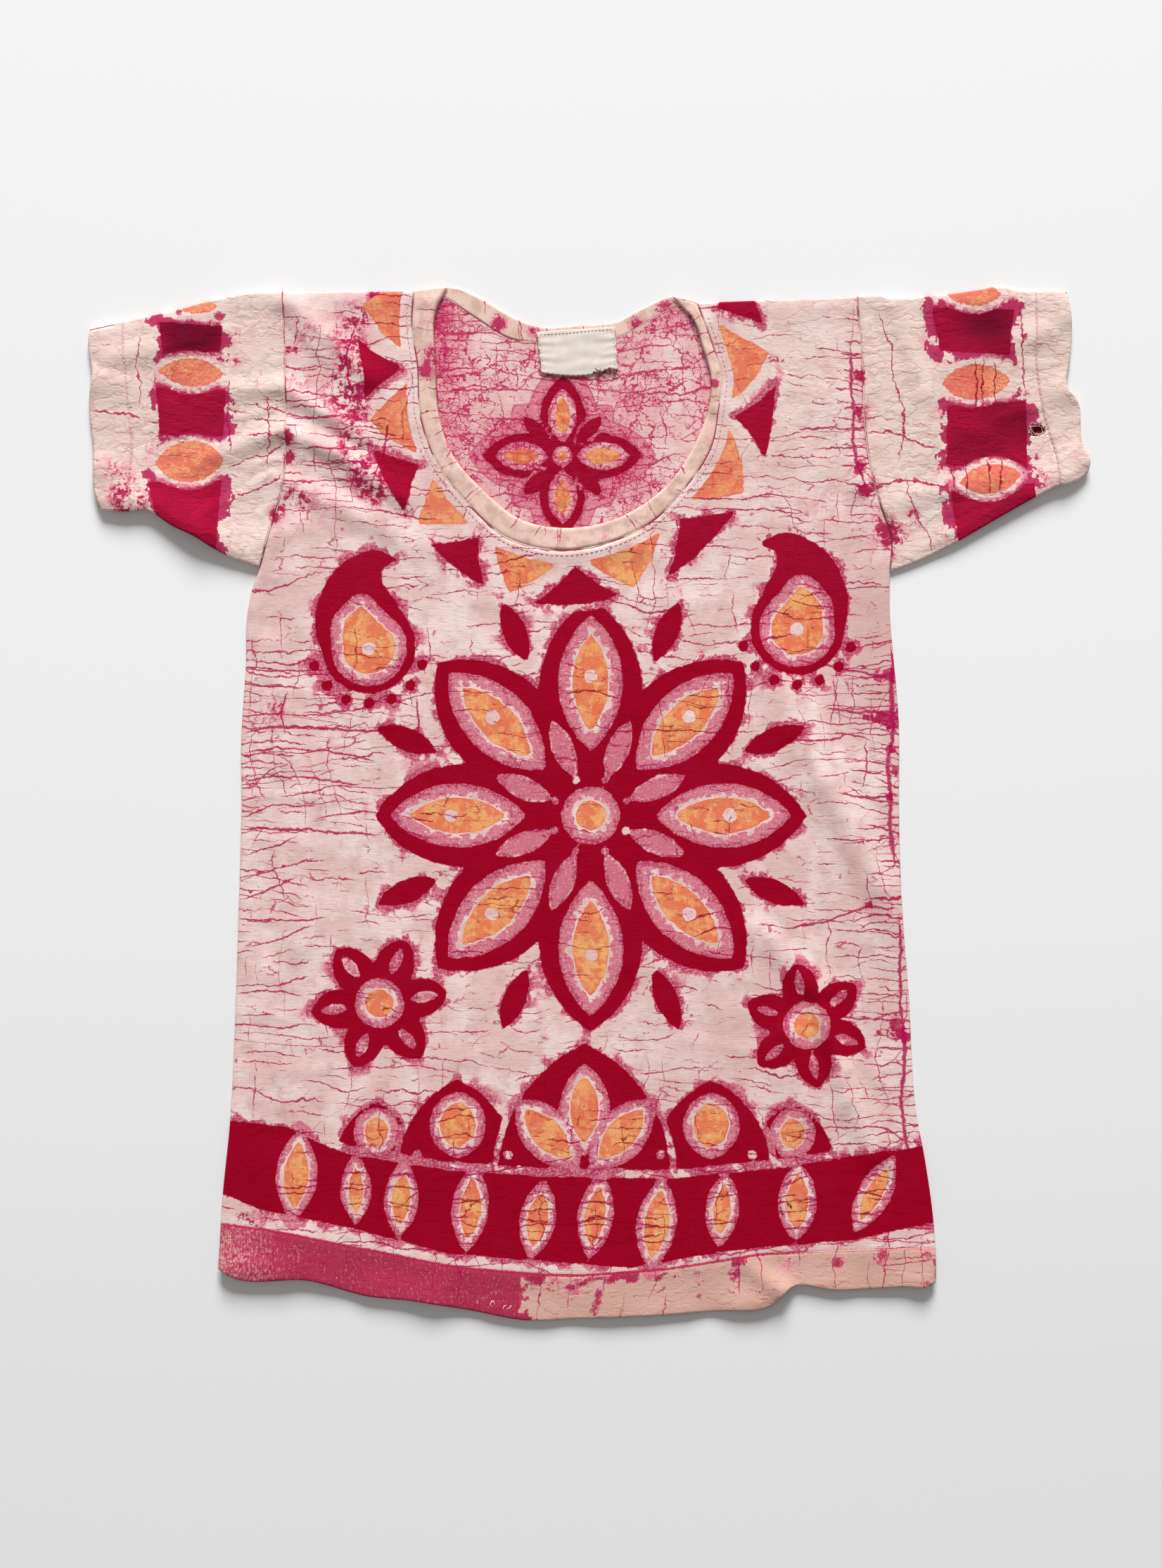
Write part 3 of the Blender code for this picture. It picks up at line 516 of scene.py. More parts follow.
drops = (
    # middle of the round end, and the way each one leans: -1 curls to the left
    {"place": (-141.0, 100.0), "lean": 1, "turn": 14.0},
    {"place": (133.0, 112.0), "lean": -1, "turn": -8.0},
)
dropShape = {
    # spines as x, y rows from the middle, and the radii along them
    "spine": ((0, 0), (-3, 18), (1, 38), (16, 52), (30, 50)), "widths": (30.0, 27.0, 18.5, 9.0, 1.2),
    "coreSpine": ((0, -1), (-2, 12), (1, 24)), "coreWidths": (16.5, 11.5, 2.5), "ring": 7.6, "dot": 4.6,
    "beads": 7, "firstBead": {1: 200, -1: -20}, "beadStep": 23.5, "beadReach": 36.5, "bead": 3.4,
}


def layDrop(dye, place, lean, turn):
    # a curled drop with an orange core and a row of small waxed beads round its back
    d = dropShape
    spin = np.radians(turn)
    turning = np.array([[np.cos(spin), np.sin(spin)], [-np.sin(spin), np.cos(spin)]])
    spine = np.array(d["spine"]) * (lean, 1) @ turning + place
    core = np.array(d["coreSpine"]) * (lean, 1) @ turning + place
    dye.ground(hornField(dye.x, dye.y, spine, d["widths"]))
    dye.core(hornField(dye.x, dye.y, core, d["coreWidths"]), d["ring"])
    dye.dot(dye.disc(core[0], d["dot"]))
    for bead in range(d["beads"]):
        angle = d["firstBead"][lean] + bead * d["beadStep"] * lean
        dye.ground(dye.disc(np.asarray(place) + turned(d["beadReach"], angle), d["bead"]))


blossoms = (
    {"centre": (-134.0, -128.0), "turn": 8.0, "size": 1.0},
    {"centre": (139.0, -142.0), "turn": -20.0, "size": 0.92},
)
blossomShape = {
    "petals": 6, "reach": 25.0, "petalSize": (19.0, 12.5), "heart": 23.0, "veinReach": 29.0,
    "veinSize": (9.5, 3.4), "stain": 0.8, "eye": 9.0, "ring": 6.8,
}


def layBlossom(dye, centre, turn, size):
    # round petals, each with a waxed vein, round an orange eye
    b = blossomShape
    petalSize, veinSize = ([size * part for part in b[key]] for key in ("petalSize", "veinSize"))
    angles = [turn + petal * 360 / b["petals"] for petal in range(b["petals"])]
    for angle in angles:
        dye.ground(dye.oval(centre + turned(b["reach"] * size, angle), *petalSize, angle))
    dye.ground(dye.disc(centre, b["heart"] * size))
    for angle in angles:
        dye.vein(dye.oval(centre + turned(b["veinReach"] * size, angle), *veinSize, angle), b["stain"])
    dye.core(dye.disc(centre, b["eye"] * size), b["ring"])


arches = {
    "foot": -226.0, "bow": 12.0, "bowReach": 160.0,
    # place along x, half length, half width and the turns of the orange cores of each arch
    "row": (
        (-136, 38, 26, (90,)), (130, 38, 26, (90,)), (-84, 58, 38, (90,)),
        (78, 58, 38, (90,)), (-3, 84, 55, (48, 90, 132)),
    ),
    "border": 4.0, "behind": 1.6, "ring": 6.6, "spots": (-110, -52, 46, 104), "spot": 3.0,
    # how far up an orange core stands, and how long and wide it is, as shares of its arch
    "upright": 0.5, "slanted": 0.42, "coreLength": 0.25, "coreWidth": 0.3, "narrowWidth": 0.17,
}


def layArches(dye):
    # pointed arches in a row, the middle one in front, cut off along a bowed foot
    a = arches
    foot, base = (
        a["foot"] - a["bow"] * (1 - (place / a["bowReach"]) ** 2)
        for place in (dye.x, np.array([row[0] for row in a["row"]]))
    )
    for (place, halfLength, halfWidth, turns), level in zip(a["row"], base):
        cut = np.fmin(dye.oval((place, level), halfLength, halfWidth, 90), dye.y - foot)
        dye.orange = np.fmin(dye.orange, -cut - a["border"] - a["behind"])
        dye.ground(cut, a["border"])
        width = halfWidth * (a["narrowWidth"] if len(turns) > 1 else a["coreWidth"])
        for turn in turns:
            up = halfLength * (a["upright"] if turn == 90 else a["slanted"])
            middle = np.array((place, level)) + turned(up, turn)
            dye.core(dye.oval(middle, halfLength * a["coreLength"], width, turn), a["ring"])
    for spot in a["spots"]:
        dye.vein(dye.disc((spot, a["foot"] + 1), a["spot"]))


hemBorder = {
    "top": (
        (-240, -201), (-228, -203), (-192, -207), (-173, -217), (-155, -224),
        (-89, -235), (-26, -239), (52, -240), (124, -233), (174, -225),
        (212, -219), (226, -216),
    ),
    "foot": (
        (-240, -247), (-233, -250), (-209, -260), (-155, -271), (-89, -288),
        (-26, -293), (27, -297), (91, -286), (169, -279), (219, -268), (226, -266),
    ),
    # middle, half length, half width and turn of each oval
    "ovals": (
        ((-187, -238), 29, 13, 86), ((-149, -247), 22.5, 9.8, 91),
        ((-120, -253), 25, 10.8, 86), ((-76, -259), 28, 11.8, 85),
        ((-33, -266), 25.5, 11.6, 80), ((4, -264), 28, 11.4, 82),
        ((43, -269), 30, 12.8, 82), ((85, -260), 24, 10.6, 84),
        ((133, -255), 25, 12.4, 88), ((182, -250), 28, 10.4, 62),
    ),
    "wax": 5.1, "above": 5.5,
}


def layHemBorder(dye):
    # a crimson band between two edges, crossed by pointed ovals with orange cores
    h = hemBorder
    top = np.interp(dye.x, *np.transpose(h["top"]))
    foot = np.interp(dye.x, *np.transpose(h["foot"]))
    dye.red = np.fmin(dye.red, dye.y - top - h["above"])
    dye.red = np.fmax(dye.red, np.fmin(top - dye.y, dye.y - foot))
    for middle, halfLength, halfWidth, turn in h["ovals"]:
        oval = dye.oval(middle, halfLength, halfWidth, turn)
        dye.orange = np.fmax(dye.orange, oval - h["wax"])
        dye.red = np.fmin(dye.red, -oval)


neckBorder = {
    # middle of each orange triangle along the seam, and its reach to each side
    "orange": ((13, 27), (80, 27), (136, 22), (192, 24), (252, 31), (326, 30), (392, 28), (458, 30)),
    "crimson": ((46, 27), (107, 23), (163, 21), (221, 27), (289, 31), (358, 26), (425, 26)),
    "inner": 7.0, "outer": 35.0,
}


def layNeckBorder(dye, seam):
    # triangles round the neck, worked out along the seam and away from it, each a little askew:
    # the orange ones stand on the neck's side and the crimson ones on the other
    away, along, side = nearestOn(seam, dye.x, dye.y)
    out = away * side
    n = neckBorder
    band = np.fmin(out - n["inner"] + 6, n["outer"] + 4 - out)
    dye.red = np.fmin(dye.red, -band)
    dye.orange = np.fmin(dye.orange, -band)
    for place, reach in n["crimson"]:
        base = ((place - reach * 0.72, n["outer"]), (place + reach * 0.8, n["outer"] - 1))
        corners = (*base, (place + 1, n["inner"] + 3))
        dye.red = np.fmax(dye.red, polygonField(along, out, corners))
    for place, reach in n["orange"]:
        base = ((place - reach * 0.78, n["inner"]), (place + reach * 0.82, n["inner"] + 1))
        corners = (*base, (place - 2, n["outer"] - 3))
        dye.orange = np.fmax(dye.orange, polygonField(along, out, corners))


sleeveBands = {
    "Left": {
        "blocks": (
            ((-275, 307), (-234, 305), (-236, 288), (-272, 287)),
            ((-277, 266), (-232, 264), (-234, 234), (-274, 235)),
            ((-282, 205), (-235, 206), (-238, 158), (-272, 170)),
        ),
        "ovals": (((-254, 275), 21, 9, -3), ((-255, 218), 22, 13, 4), ((-250, 317), 13, 4.5, 0)),
    },
    "Right": {
        "blocks": (
            ((219, 317), (271, 315), (268, 286), (224, 289)),
            ((229, 254), (279, 257), (280, 214), (228, 216)),
            ((230, 204), (284, 204), (286, 188), (258, 176), (236, 166)),
        ),
        "ovals": (((247, 269), 22, 11.5, 3), ((256, 207), 20, 9.6, 8), ((246, 325), 18, 7.5, 0)),
    },
}
sleeveWax = 5.0  # between an oval and the crimson round it


def laySleeveBand(dye, band):
    # crimson blocks down the sleeve with orange ovals between them
    for corners in band["blocks"]:
        dye.ground(polygonField(dye.x, dye.y, corners))
    for middle, halfLength, halfWidth, turn in band["ovals"]:
        oval = dye.oval(middle, halfLength, halfWidth, turn)
        dye.orange = np.fmax(dye.orange, oval)
        dye.red = np.fmin(dye.red, -oval - sleeveWax)


rosette = {
    "centre": (-17.0, 222.0), "reach": 24.0, "petal": (27.0, 14.5), "small": (11.5, 4.6), "smallWax": 1.8,
    "coreReach": 26.0, "core": (12.0, 5.0), "ring": 4.2, "eye": 3.4, "eyeRing": 3.0,
}


def layRosette(dye):
    # four pointed petals set crosswise, each with an orange core, and small petals between them
    r = rosette
    centre = np.array(r["centre"])
    for angle in (90, 180, 270, 360):
        dye.ground(dye.oval(centre + turned(r["reach"], angle), *r["petal"], angle))
        between = angle + 45
        dye.ground(dye.oval(centre + turned(r["reach"], between), *r["small"], between), r["smallWax"])
    for angle in (90, 180, 270, 360):
        dye.core(dye.oval(centre + turned(r["coreReach"], angle), *r["core"], angle), r["ring"])
    dye.core(dye.disc(centre, r["eye"]), r["eyeRing"])


def spots(x, y, table):
    # soft round patches: x, y, reach and strength of each
    total = np.zeros(np.shape(x))
    for cx, cy, reach, strength in table:
        total = total + strength * np.exp(-(((x - cx) ** 2 + (y - cy) ** 2) / reach**2))
    return total


# Where the wax has cracked most: x, y, reach and strength of each patch
cracked = (
    (192, 84, 26, 0.9), (188, 56, 20, 0.8), (196, 20, 24, 0.7), (196, -20, 22, 0.7),
    (190, -74, 30, 0.7), (160, 70, 40, 0.5), (-206, 20, 40, 0.7), (-165, 66, 44, 0.7),
    (-205, -60, 34, 0.6), (-196, 94, 30, 0.6), (-160, 270, 50, 0.8), (-150, 205, 40, 0.8),
    (150, 170, 40, 0.5), (60, 118, 60, 0.5), (-60, 120, 46, 0.4), (190, 235, 30, 0.6),
    (-200, 250, 20, 0.6), (205, -160, 30, 0.7), (150, -90, 40, 0.5), (-200, -160, 44, 0.4),
    (-120, -262, 60, 0.9), (-30, -264, 60, 0.9), (70, -262, 60, 0.9), (170, -250, 50, 0.9),
    (262, 300, 30, 0.5), (-260, 240, 36, 0.5), (262, 200, 30, 0.5), (-100, -170, 50, 0.4),
)
# Where pink dye has come through, in the same columns
pinked = (
    # over the left shoulder
    (-151, 312, 13, 0.5), (-152, 290, 13, 0.6), (-148, 276, 12, 0.5), (-161, 262, 13, 0.5),
    (-148, 254, 13, 0.6), (-154, 231, 13, 0.5), (-143, 211, 13, 0.7), (-136, 198, 10, 0.7),
    (-180, 300, 12, 0.4), (-184, 270, 8, 0.4), (-105, 285, 8, 0.8), (-172, 186, 16, 0.4),
    (-139, 313, 4.5, 1.7), (-135, 324, 5, 1.5), (-192, 233.5, 3.4, 1.7), (-192, 221, 3, 1.7),
    (-190.5, 290, 3.5, 1.1), (-188, 194, 8, 0.7), (-200, 184, 5, 0.9),
    # the right armhole and under it
    (172, 250, 9, 0.5), (173, 274, 4, 1.2), (172, 214, 9, 0.7), (176, 200, 8, 0.7),
    (150, 190, 16, 0.5), (186, 176, 12, 0.6), (196, 168, 10, 0.8), (112, 208, 12, 0.5),
    (60, 300, 8, 0.9), (207, 184, 5, 1),
    # down the right side
    (192, 82, 5.5, 1.9), (184, 80, 4.5, 1.4), (186, 56, 6, 1.2), (193, 54, 6.5, 2),
    (176, 55, 5, 0.9), (192, 34, 4.5, 1.4), (196, 20, 5, 0.9), (192, 4, 3.5, 1.2),
    (160, 70, 12, 0.35), (154, 88, 8, 0.5), (179, -65, 4, 1.3), (196, -142, 9, 0.8),
    (201, -150, 6, 1.1), (204, -222, 10, 0.6), (200, -190, 8, 0.4),
    # down the left side
    (-214, 92, 10, 0.5), (-206, 54, 12, 0.6), (-196, 62, 8, 0.5), (-218, 14, 7, 0.7),
    (-160, 40, 16, 0.3), (-212, -120, 14, 0.3), (-190, -196, 16, 0.35),
    # the hem and the cuffs
    (159, -293, 5, 1.2), (186, -290, 6, 1.1), (93, -300, 4, 2), (-206, -262, 18, 0.7),
    (-10, -309, 8, 0.8), (6, -313, 5, 1), (-24, -306, 6, 0.8), (126, -296, 7, 0.6),
    (277, 240, 6, 1.2), (281, 250, 5, 0.9), (-276, 272, 8, 0.5), (-304, 218, 13, 0.4),
    (-300, 200, 14, 0.7), (-290, 190, 11, 0.9), (-228, 300, 10, 0.6), (-290, 312, 8, 0.5),
    (-226, 282, 5, 0.8), (-286, 176, 12, 0.7), (-282, 226, 8, 0.6), (-230, 238, 6, 0.6),
    (284, 212, 13, 0.7), (290, 190, 14, 0.7), (222, 250, 8, 0.5), (216, 300, 8, 0.7),
    (224, 212, 6, 0.6), (286, 262, 6, 0.5), (226, 172, 8, 0.6),
)

# Where the ground is painted darker, as shade of the folds by the armpits and down the body, partly with
# dye, in the same columns
shadedPatches = (
    (186, 122, 34, 0.85), (176, 74, 24, 0.35), (204, 66, 26, 0.45), (-206, 116, 26, 0.5),
    (96, -30, 34, 0.35), (176, -60, 34, 0.3), (200, -118, 30, 0.3), (205, 225, 18, 0.3),
    (60, -160, 60, 0.25), (-150, -150, 60, 0.16), (120, -170, 50, 0.2),
)
# Knots where the dye ran together, in the same columns
knots = (
    (192, 82, 4.4, 1.7), (184, 80, 3, 1.4), (193, 54, 5, 1.8), (186, 56, 3.4, 1.4),
    (176, 55, 2.4, 1.3), (192, 34, 3.4, 1.5), (195, 20, 3, 1.4), (192, 4, 2.6, 1.4),
    (179, -65, 2.4, 1.6), (196, -142, 5, 1.3), (202, -150, 4, 1.4), (-139, 313, 4.2, 1.7),
    (-135, 324, 4.4, 1.7), (-192, 233, 3.2, 1.7), (-192, 221, 2.8, 1.6), (-191, 290, 2.6, 1.4),
    (93, -300, 4, 1.7), (186, -290, 5, 1.4), (159, -293, 4.4, 1.4), (172, 250, 3.4, 1.5),
    (173, 274, 2.6, 1.5), (172, 214, 3.6, 1.4), (176, 200, 4.2, 1.5), (196, 168, 4.4, 1.5),
    (186, 176, 4, 1.3), (-140, 211, 5, 1.2), (-134, 198, 4.2, 1.4), (-112, 47, 2.6, 1.4),
    (-10, -309, 3.2, 1.3), (6, -313, 2.6, 1.3), (-218, 14, 2.8, 1.3), (-218, -15, 3, 1.4),
    (-212, -270, 8, 1.2), (-222, -264, 7, 1.3), (-262, 314, 4.5, 1.5), (-236, 311, 5, 1.6),
    (-243, 318, 3.2, 1.5), (-279, 262, 5, 1.3), (-278, 204, 6, 1.2), (278, 236, 5, 1.4),
    (222, 303, 5, 1.3), (225, 318, 5, 1.4), (278, 298, 4, 1.4), (276, 318, 4.5, 1.4),
    (279, 262, 4, 1.2), (226, 246, 4, 1.2), (5, -320, 4, 2), (3, -325, 3.4, 1.8),
    (6, -314, 3, 1.6), (69, -301, 3.6, 1.7), (158, -294, 4, 1.6), (-24, -311, 4, 1.5),
    (216, -288, 3.4, 1.8), (188, -287, 3, 1.7), (-206, 92, 4, 1.4), (-214, 50, 4, 1.5),
)
# Cracks in the wax, in rows: their turn, spacing, reach along, sway and width, and how few show
crackSets = {
    "long": {"turn": 1.0, "spacing": 10.5, "reach": 80.0, "sway": 26.0, "width": 0.76, "cover": 0.56},
    "short": {"turn": -3.0, "spacing": 6.4, "reach": 34.0, "sway": 10.0, "width": 0.52, "cover": 0.55},
    "down": {"turn": 91.0, "spacing": 12.0, "reach": 34.0, "sway": 14.0, "width": 0.40, "cover": 0.63},
    "slant": {"turn": 32.0, "spacing": 26.0, "reach": 46.0, "sway": 34.0, "width": 0.42, "cover": 0.69},
}
# The strongest cracks, each a width in millimetres and then its x, y turning points. In each table
# they are in order, so that the side on which a crack's distance is positive can alternate.
acrossCracks = (
    (0.6, (-222, 86), (-200, 85), (-188, 82)), (0.9, (128, 92), (158, 86), (176, 83), (196, 79)),
    (0.7, (-186, 58), (-150, 59), (-128, 68), (-112, 69)),
    (1.1, (150, 60), (172, 57), (184, 58), (199, 55)),
    (1.3, (-224, 44), (-206, 48), (-186, 49), (-150, 46), (-110, 47)),
    (0.9, (122, 42), (158, 40), (164, 44), (182, 40)),
    (0.8, (-224, 31), (-200, 35), (-170, 34), (-140, 27), (-134, 26)),
    (0.7, (166, 22), (178, 20), (190, 20)),
    (0.9, (-224, 13), (-200, 17), (-180, 17), (-150, 12), (-142, 13)),
    (1.1, (158, 6), (182, 4), (199, 6)),
    (1.1, (-224, -15), (-196, -18), (-178, -17), (-160, -20), (-130, -20)),
    (0.7, (150, -22), (176, -24), (199, -22)), (1.1, (120, -80), (150, -76), (179, -65), (200, -67)),
    (0.8, (-226, -74), (-190, -76), (-166, -73)), (0.8, (-226, -122), (-196, -120), (-182, -124)),
    (0.7, (170, -136), (190, -140), (206, -138)), (0.7, (160, 288), (170, 286), (176, 287)),
    (0.7, (162, 277), (170, 275), (176, 276)), (0.8, (156, 264), (170, 265), (177, 263)),
    (0.8, (162, 252), (170, 253), (180, 251)), (0.9, (132, 240), (160, 239), (181, 240)),
    (0.8, (148, 228), (166, 227), (182, 229)), (0.8, (160, 216), (172, 215), (184, 217)),
    (0.7, (164, 204), (174, 203), (186, 205)),
)
downCracks = (
    (0.8, (-193, 72), (-197, 56), (-194, 44)), (0.9, (-110, 68), (-109, 50), (-111, 34)),
    (0.6, (156, 82), (158, 66), (155, 48)), (0.7, (176, 40), (178, 24), (175, 10)),
    (1.9, (193, 104), (193.5, 82), (193, 56), (193, 40), (191.5, 28), (191, 16), (192.5, 4),
        (193, -18), (194, -46)),
    (1.5, (197, -64), (199, -96), (199, -134), (203, -156), (199, -190), (203, -214), (208, -240)),
    (1.3, (168, 292), (167, 270), (169, 250), (168, 232), (171, 214), (178, 196)),
    (0.9, (-150, 306), (-156, 284), (-150, 262)), (0.8, (-128, 244), (-132, 224), (-138, 204)),
)
sleeveCracks = {
    "Left": (
        (
            (0.8, (-318, 250), (-306, 249), (-294, 248), (-286, 244)),
            (0.7, (-232, 214), (-224, 215), (-217, 219), (-206, 222), (-194, 231)),
            (0.7, (-226, 196), (-212, 200), (-195, 210)),
        ),
        (
            (0.45, (-286.5, 300), (-289, 282), (-286, 268), (-288, 252)),
            (0.6, (-230, 272), (-231, 250), (-229, 222)), (0.6, (-205, 262), (-203, 240), (-206, 214)),
        ),
    ),
    "Right": (
        ((0.8, (176, 236), (192, 238), (206, 231), (224, 226)), (0.7, (182, 204), (206, 206), (228, 202))),
        (
            (0.6, (184, 318), (187, 304), (193, 292), (194, 272), (201, 252), (200, 232), (197, 214)),
            (0.6, (202, 212), (203, 200), (209, 190), (211, 180), (217, 174), (219, 158)),
            (0.6, (232.6, 221), (233, 200)), (0.6, (241, 222), (240, 196)), (0.7, (246.4, 284), (247, 249)),
            (0.6, (252, 286), (251.5, 246)), (0.7, (259.5, 283), (259, 250)),
            (0.6, (255.4, 221), (256, 196)), (0.6, (262, 221), (262, 198)),
            (0.7, (275, 320), (276, 296), (277, 270), (279, 262)),
        ),
    ),
}


def rowsOfCracks(x, y, turn, spacing, reach, sway, width, cover, crushed, seed):
    # each row has a crack: the distance to it, whose sign alternates, and its width there
    spin = np.radians(turn)
    along, across = x * np.cos(spin) + y * np.sin(spin), y * np.cos(spin) - x * np.sin(spin)
    drift = softNoise(along, across, reach, seed)
    drift = drift + 0.25 * softNoise(along, across, reach / 4, seed + 1) - 0.6
    level = (across + sway * drift) / spacing + 120
    row = np.floor(level)
    middle = np.random.default_rng(seed).uniform(0.32, 0.68, 300)[row.astype(int) % 300]
    away = (level - row - middle) * spacing * np.where(row % 2, 1, -1)
    shown = softNoise(along, row * 61.0, reach * 0.5, seed + 2)
    shown = shown + 0.3 * softNoise(along, row * 43.0, reach / 9, seed + 3)
    return away, width * smooth(shown / 1.3, cover - 0.3 * crushed, cover + 0.3 - 0.25 * crushed)


noCrack = 90.0  # as far from one as makes no difference


def placedCracks(table, x, y):
    # the same for the cracks of a table, each thinning to its ends
    away, width = np.full(np.shape(x), noCrack), np.zeros(np.shape(x))
    for index, (thick, *path) in enumerate(table):
        off, along, side = nearestOn(path, x, y)
        length = sum(np.hypot(*np.subtract(a, b)) for a, b in zip(path[:-1], path[1:]))
        ends = smooth(along, 0, length * 0.15) * smooth(length - along, 0, length * 0.15)
        closer = off < np.abs(away)
        away = np.where(closer, off * side * (-1) ** index, away)
        width = np.where(closer, thick * ends * (off < 4.5), width)
    return away, width


def crackFields(x, y, seed, across, down, crushed, more=None):
    # every crack of a piece of cloth, with more of some kinds where they are asked for
    fields = {}
    crushed = crushed + spots(x, y, cracked)
    for index, (name, row) in enumerate(crackSets.items()):
        extra = (more or {}).get(name, 0.0)
        away, width = rowsOfCracks(x, y, **row, crushed=crushed + extra, seed=seed + 10 * index)
        fields[name], fields[name + "Width"] = away, width
    for name, table in (("across", across), ("downward", down)):
        fields[name], fields[name + "Width"] = placedCracks(table, x, y) if table else (noCrack, 0.0)
    return fields


# Where the crimson of the sleeves is darkest
plumSpots = (
    (-262, 300, 15, 0.9), (-244, 300, 15, 0.9), (262, 305, 17, 0.95), (244, 309, 14, 0.5),
    (266, 246, 16, 0.55), (244, 226, 15, 0.4), (264, 192, 16, 0.35), (286, 240, 10, 0.9),
)
# Where the neck binding is stained
bandStains = (
    (-100, 308, 7, 0.6), (-101, 288, 8, 1), (-104, 276, 6, 1.1), (-58, 307, 6, 1.1),
    (-36, 301, 7, 0.9), (30, 306, 6, 0.9), (48, 317, 7, 0.9), (80, 268, 4, 1),
    (-90, 228, 5, 0.6), (-20, 170, 4, 0.7), (10, 170, 4, 0.6), (64, 312, 5, 0.8),
)
# How many cells each fine grid has
cells = {
    "hemRows": 9, "sideRows": 162, "armholeLow": 15, "armholeHigh": 54, "left": 64, "neck": 70, "right": 69,
    "backRows": 150, "backShoulder": 32, "backNeck": 84, "sleeveColumns": 68, "sleeveRows": (22, 84),
    "bandAlong": 340, "bandAcross": 12, "backBandAlong": 150, "label": (56, 34),
}
armholeLink = 0.23  # how far up an armhole the body's blocks meet
neckFoot = (0.37, 0.64)  # the stretch of the neck that its foot takes
hemStitchShares = (0.0622, 0.0466)  # how far up the left and the right side the hem's stitches start
edgeLines = (0.4, 1.1, 2.2)  # extra rows beside a stitch line or a turned edge
cuffLines = 9  # rows between a cuff's stitch line and its edge


def armholeShares(low, high):
    # stations up an armhole, in two stretches that meet where the body's blocks do
    return np.concatenate([[0.0], onward(0, armholeLink, low), onward(armholeLink, 1, high)])


def bodySide(name, stations):
    # one side of the body from its hem past the armpit to the shoulder, and its two top corners
    way, neck = (1, neckFront[0]) if name == "Left" else (-1, neckFront[-1])
    side, armhole = outline["side" + name], outline["armhole" + name]
    inset, seam = way * cloth["wall"] / 2, way * cloth["seamGap"] / 2
    hem, armpit = np.add(side[0], (inset, 0)), np.add(armhole[0], (inset + seam, 0))
    shoulder = np.add(armhole[-1], (seam, -cloth["wall"] / 2))
    neckCorner = np.add(neck[:2], (-seam, -(cloth["wall"] + cloth["seamGap"]) / 2))
    upSide = fitted(curveAt(side, stations), hem, armpit)
    upArmhole = curveAt(armhole, armholeShares(cells["armholeLow"], cells["armholeHigh"]))
    upArmhole = fitted(upArmhole + np.array([seam, 0]), armpit, shoulder)
    return np.vstack([upSide, upArmhole[1:]]), shoulder, neckCorner


def sideStations(stitchShare, length):
    # rows up a side: close ones at the hem's edge and beside its stitch line, then even ones
    near = np.array(edgeLines) / length
    hem = np.concatenate([[0.0], near, onward(near[-1], stitchShare - near[-1], cells["hemRows"])])
    hem = np.concatenate([hem, stitchShare - near[1::-1], [stitchShare]])
    body = np.concatenate([stitchShare + near, onward(stitchShare + near[-1], 1, cells["sideRows"])])
    return np.concatenate([hem, body]), len(hem) - 1


def neckStations(sides, foot):
    # stations round the neck: down its left side, along its foot and up its right side
    return np.concatenate([
        np.linspace(0, neckFoot[0], sides + 1), onward(*neckFoot, foot), onward(neckFoot[1], 1, sides),
    ])


def rolledSides(grid, sideRows):
    # rolls down both side folds, less so at the armpits, and none at the armholes
    drop = np.zeros(grid.shape[:2] + (1,))
    drop[:sideRows, [0, -1]] = 1
    drop[sideRows, [0, -1]] = cloth["armpitDrop"]
    grid, drop = withRoll(grid, drop, 1, False)
    return withRoll(grid, drop, 1, True)


def frontPanel():
    # three blocks of a grid: one below the neck down to the hem, and one on each side of the neck
    left, foot, right = cells["left"], cells["neck"], cells["right"]
    length = outline["sideLeft"][-1][1] - outline["sideLeft"][0][1]
    leftShares, stitchRow = sideStations(hemStitchShares[0], length)
    rightShares = sideStations(hemStitchShares[1], length)[0]
    leftEdge, leftShoulder, leftNeck = bodySide("Left", leftShares)
    rightEdge, rightShoulder, rightNeck = bodySide("Right", rightShares)
    high = cells["armholeHigh"]
    neck = setOff(curveAt(neckFront, neckStations(high, foot))[:, :2], cloth["seamGap"] / 2)
    neck[0], neck[-1] = leftNeck, rightNeck
    sideRows = len(leftShares) - 1
    link = sideRows + cells["armholeLow"]
    linkLeft = evenly(leftEdge[link], neck[high], left)
    linkRight = evenly(neck[high + foot], rightEdge[link], right)
    chest = np.vstack([linkLeft, neck[high + 1:high + foot], linkRight])
    columns = left + foot + right
    hem = fitted(curveAt(outline["hem"], evenly(0, 1, columns)), leftEdge[0], rightEdge[0])
    stitch = curveAt(outline["hemStitch"], evenly(0, 1, columns))
    stitch = fitted(stitch, leftEdge[stitchRow], rightEdge[stitchRow])
    shoulderLeft = evenly(leftShoulder, leftNeck, left)
    shoulderRight = evenly(rightNeck, rightShoulder, right)

    grid = np.full((link + high + 1, columns + 1, 2), np.nan)
    hemRows = slice(0, stitchRow + 1)
    bodyRows = slice(stitchRow, link + 1)
    grid[hemRows] = patch(hem, stitch, leftEdge[hemRows], rightEdge[hemRows])
    grid[bodyRows] = patch(stitch, chest, leftEdge[bodyRows], rightEdge[bodyRows])
    grid[link:, :left + 1] = patch(linkLeft, shoulderLeft, leftEdge[link:], neck[high::-1])
    grid[link:, -right - 1:] = patch(linkRight, shoulderRight, neck[high + foot:], rightEdge[link:])

    grid, drop = rolledSides(grid, sideRows)
    drop[-1] = 1
    grid, drop = withRoll(grid, drop, 0, True)
    return grid, drop[..., 0], stitch, hem, neck


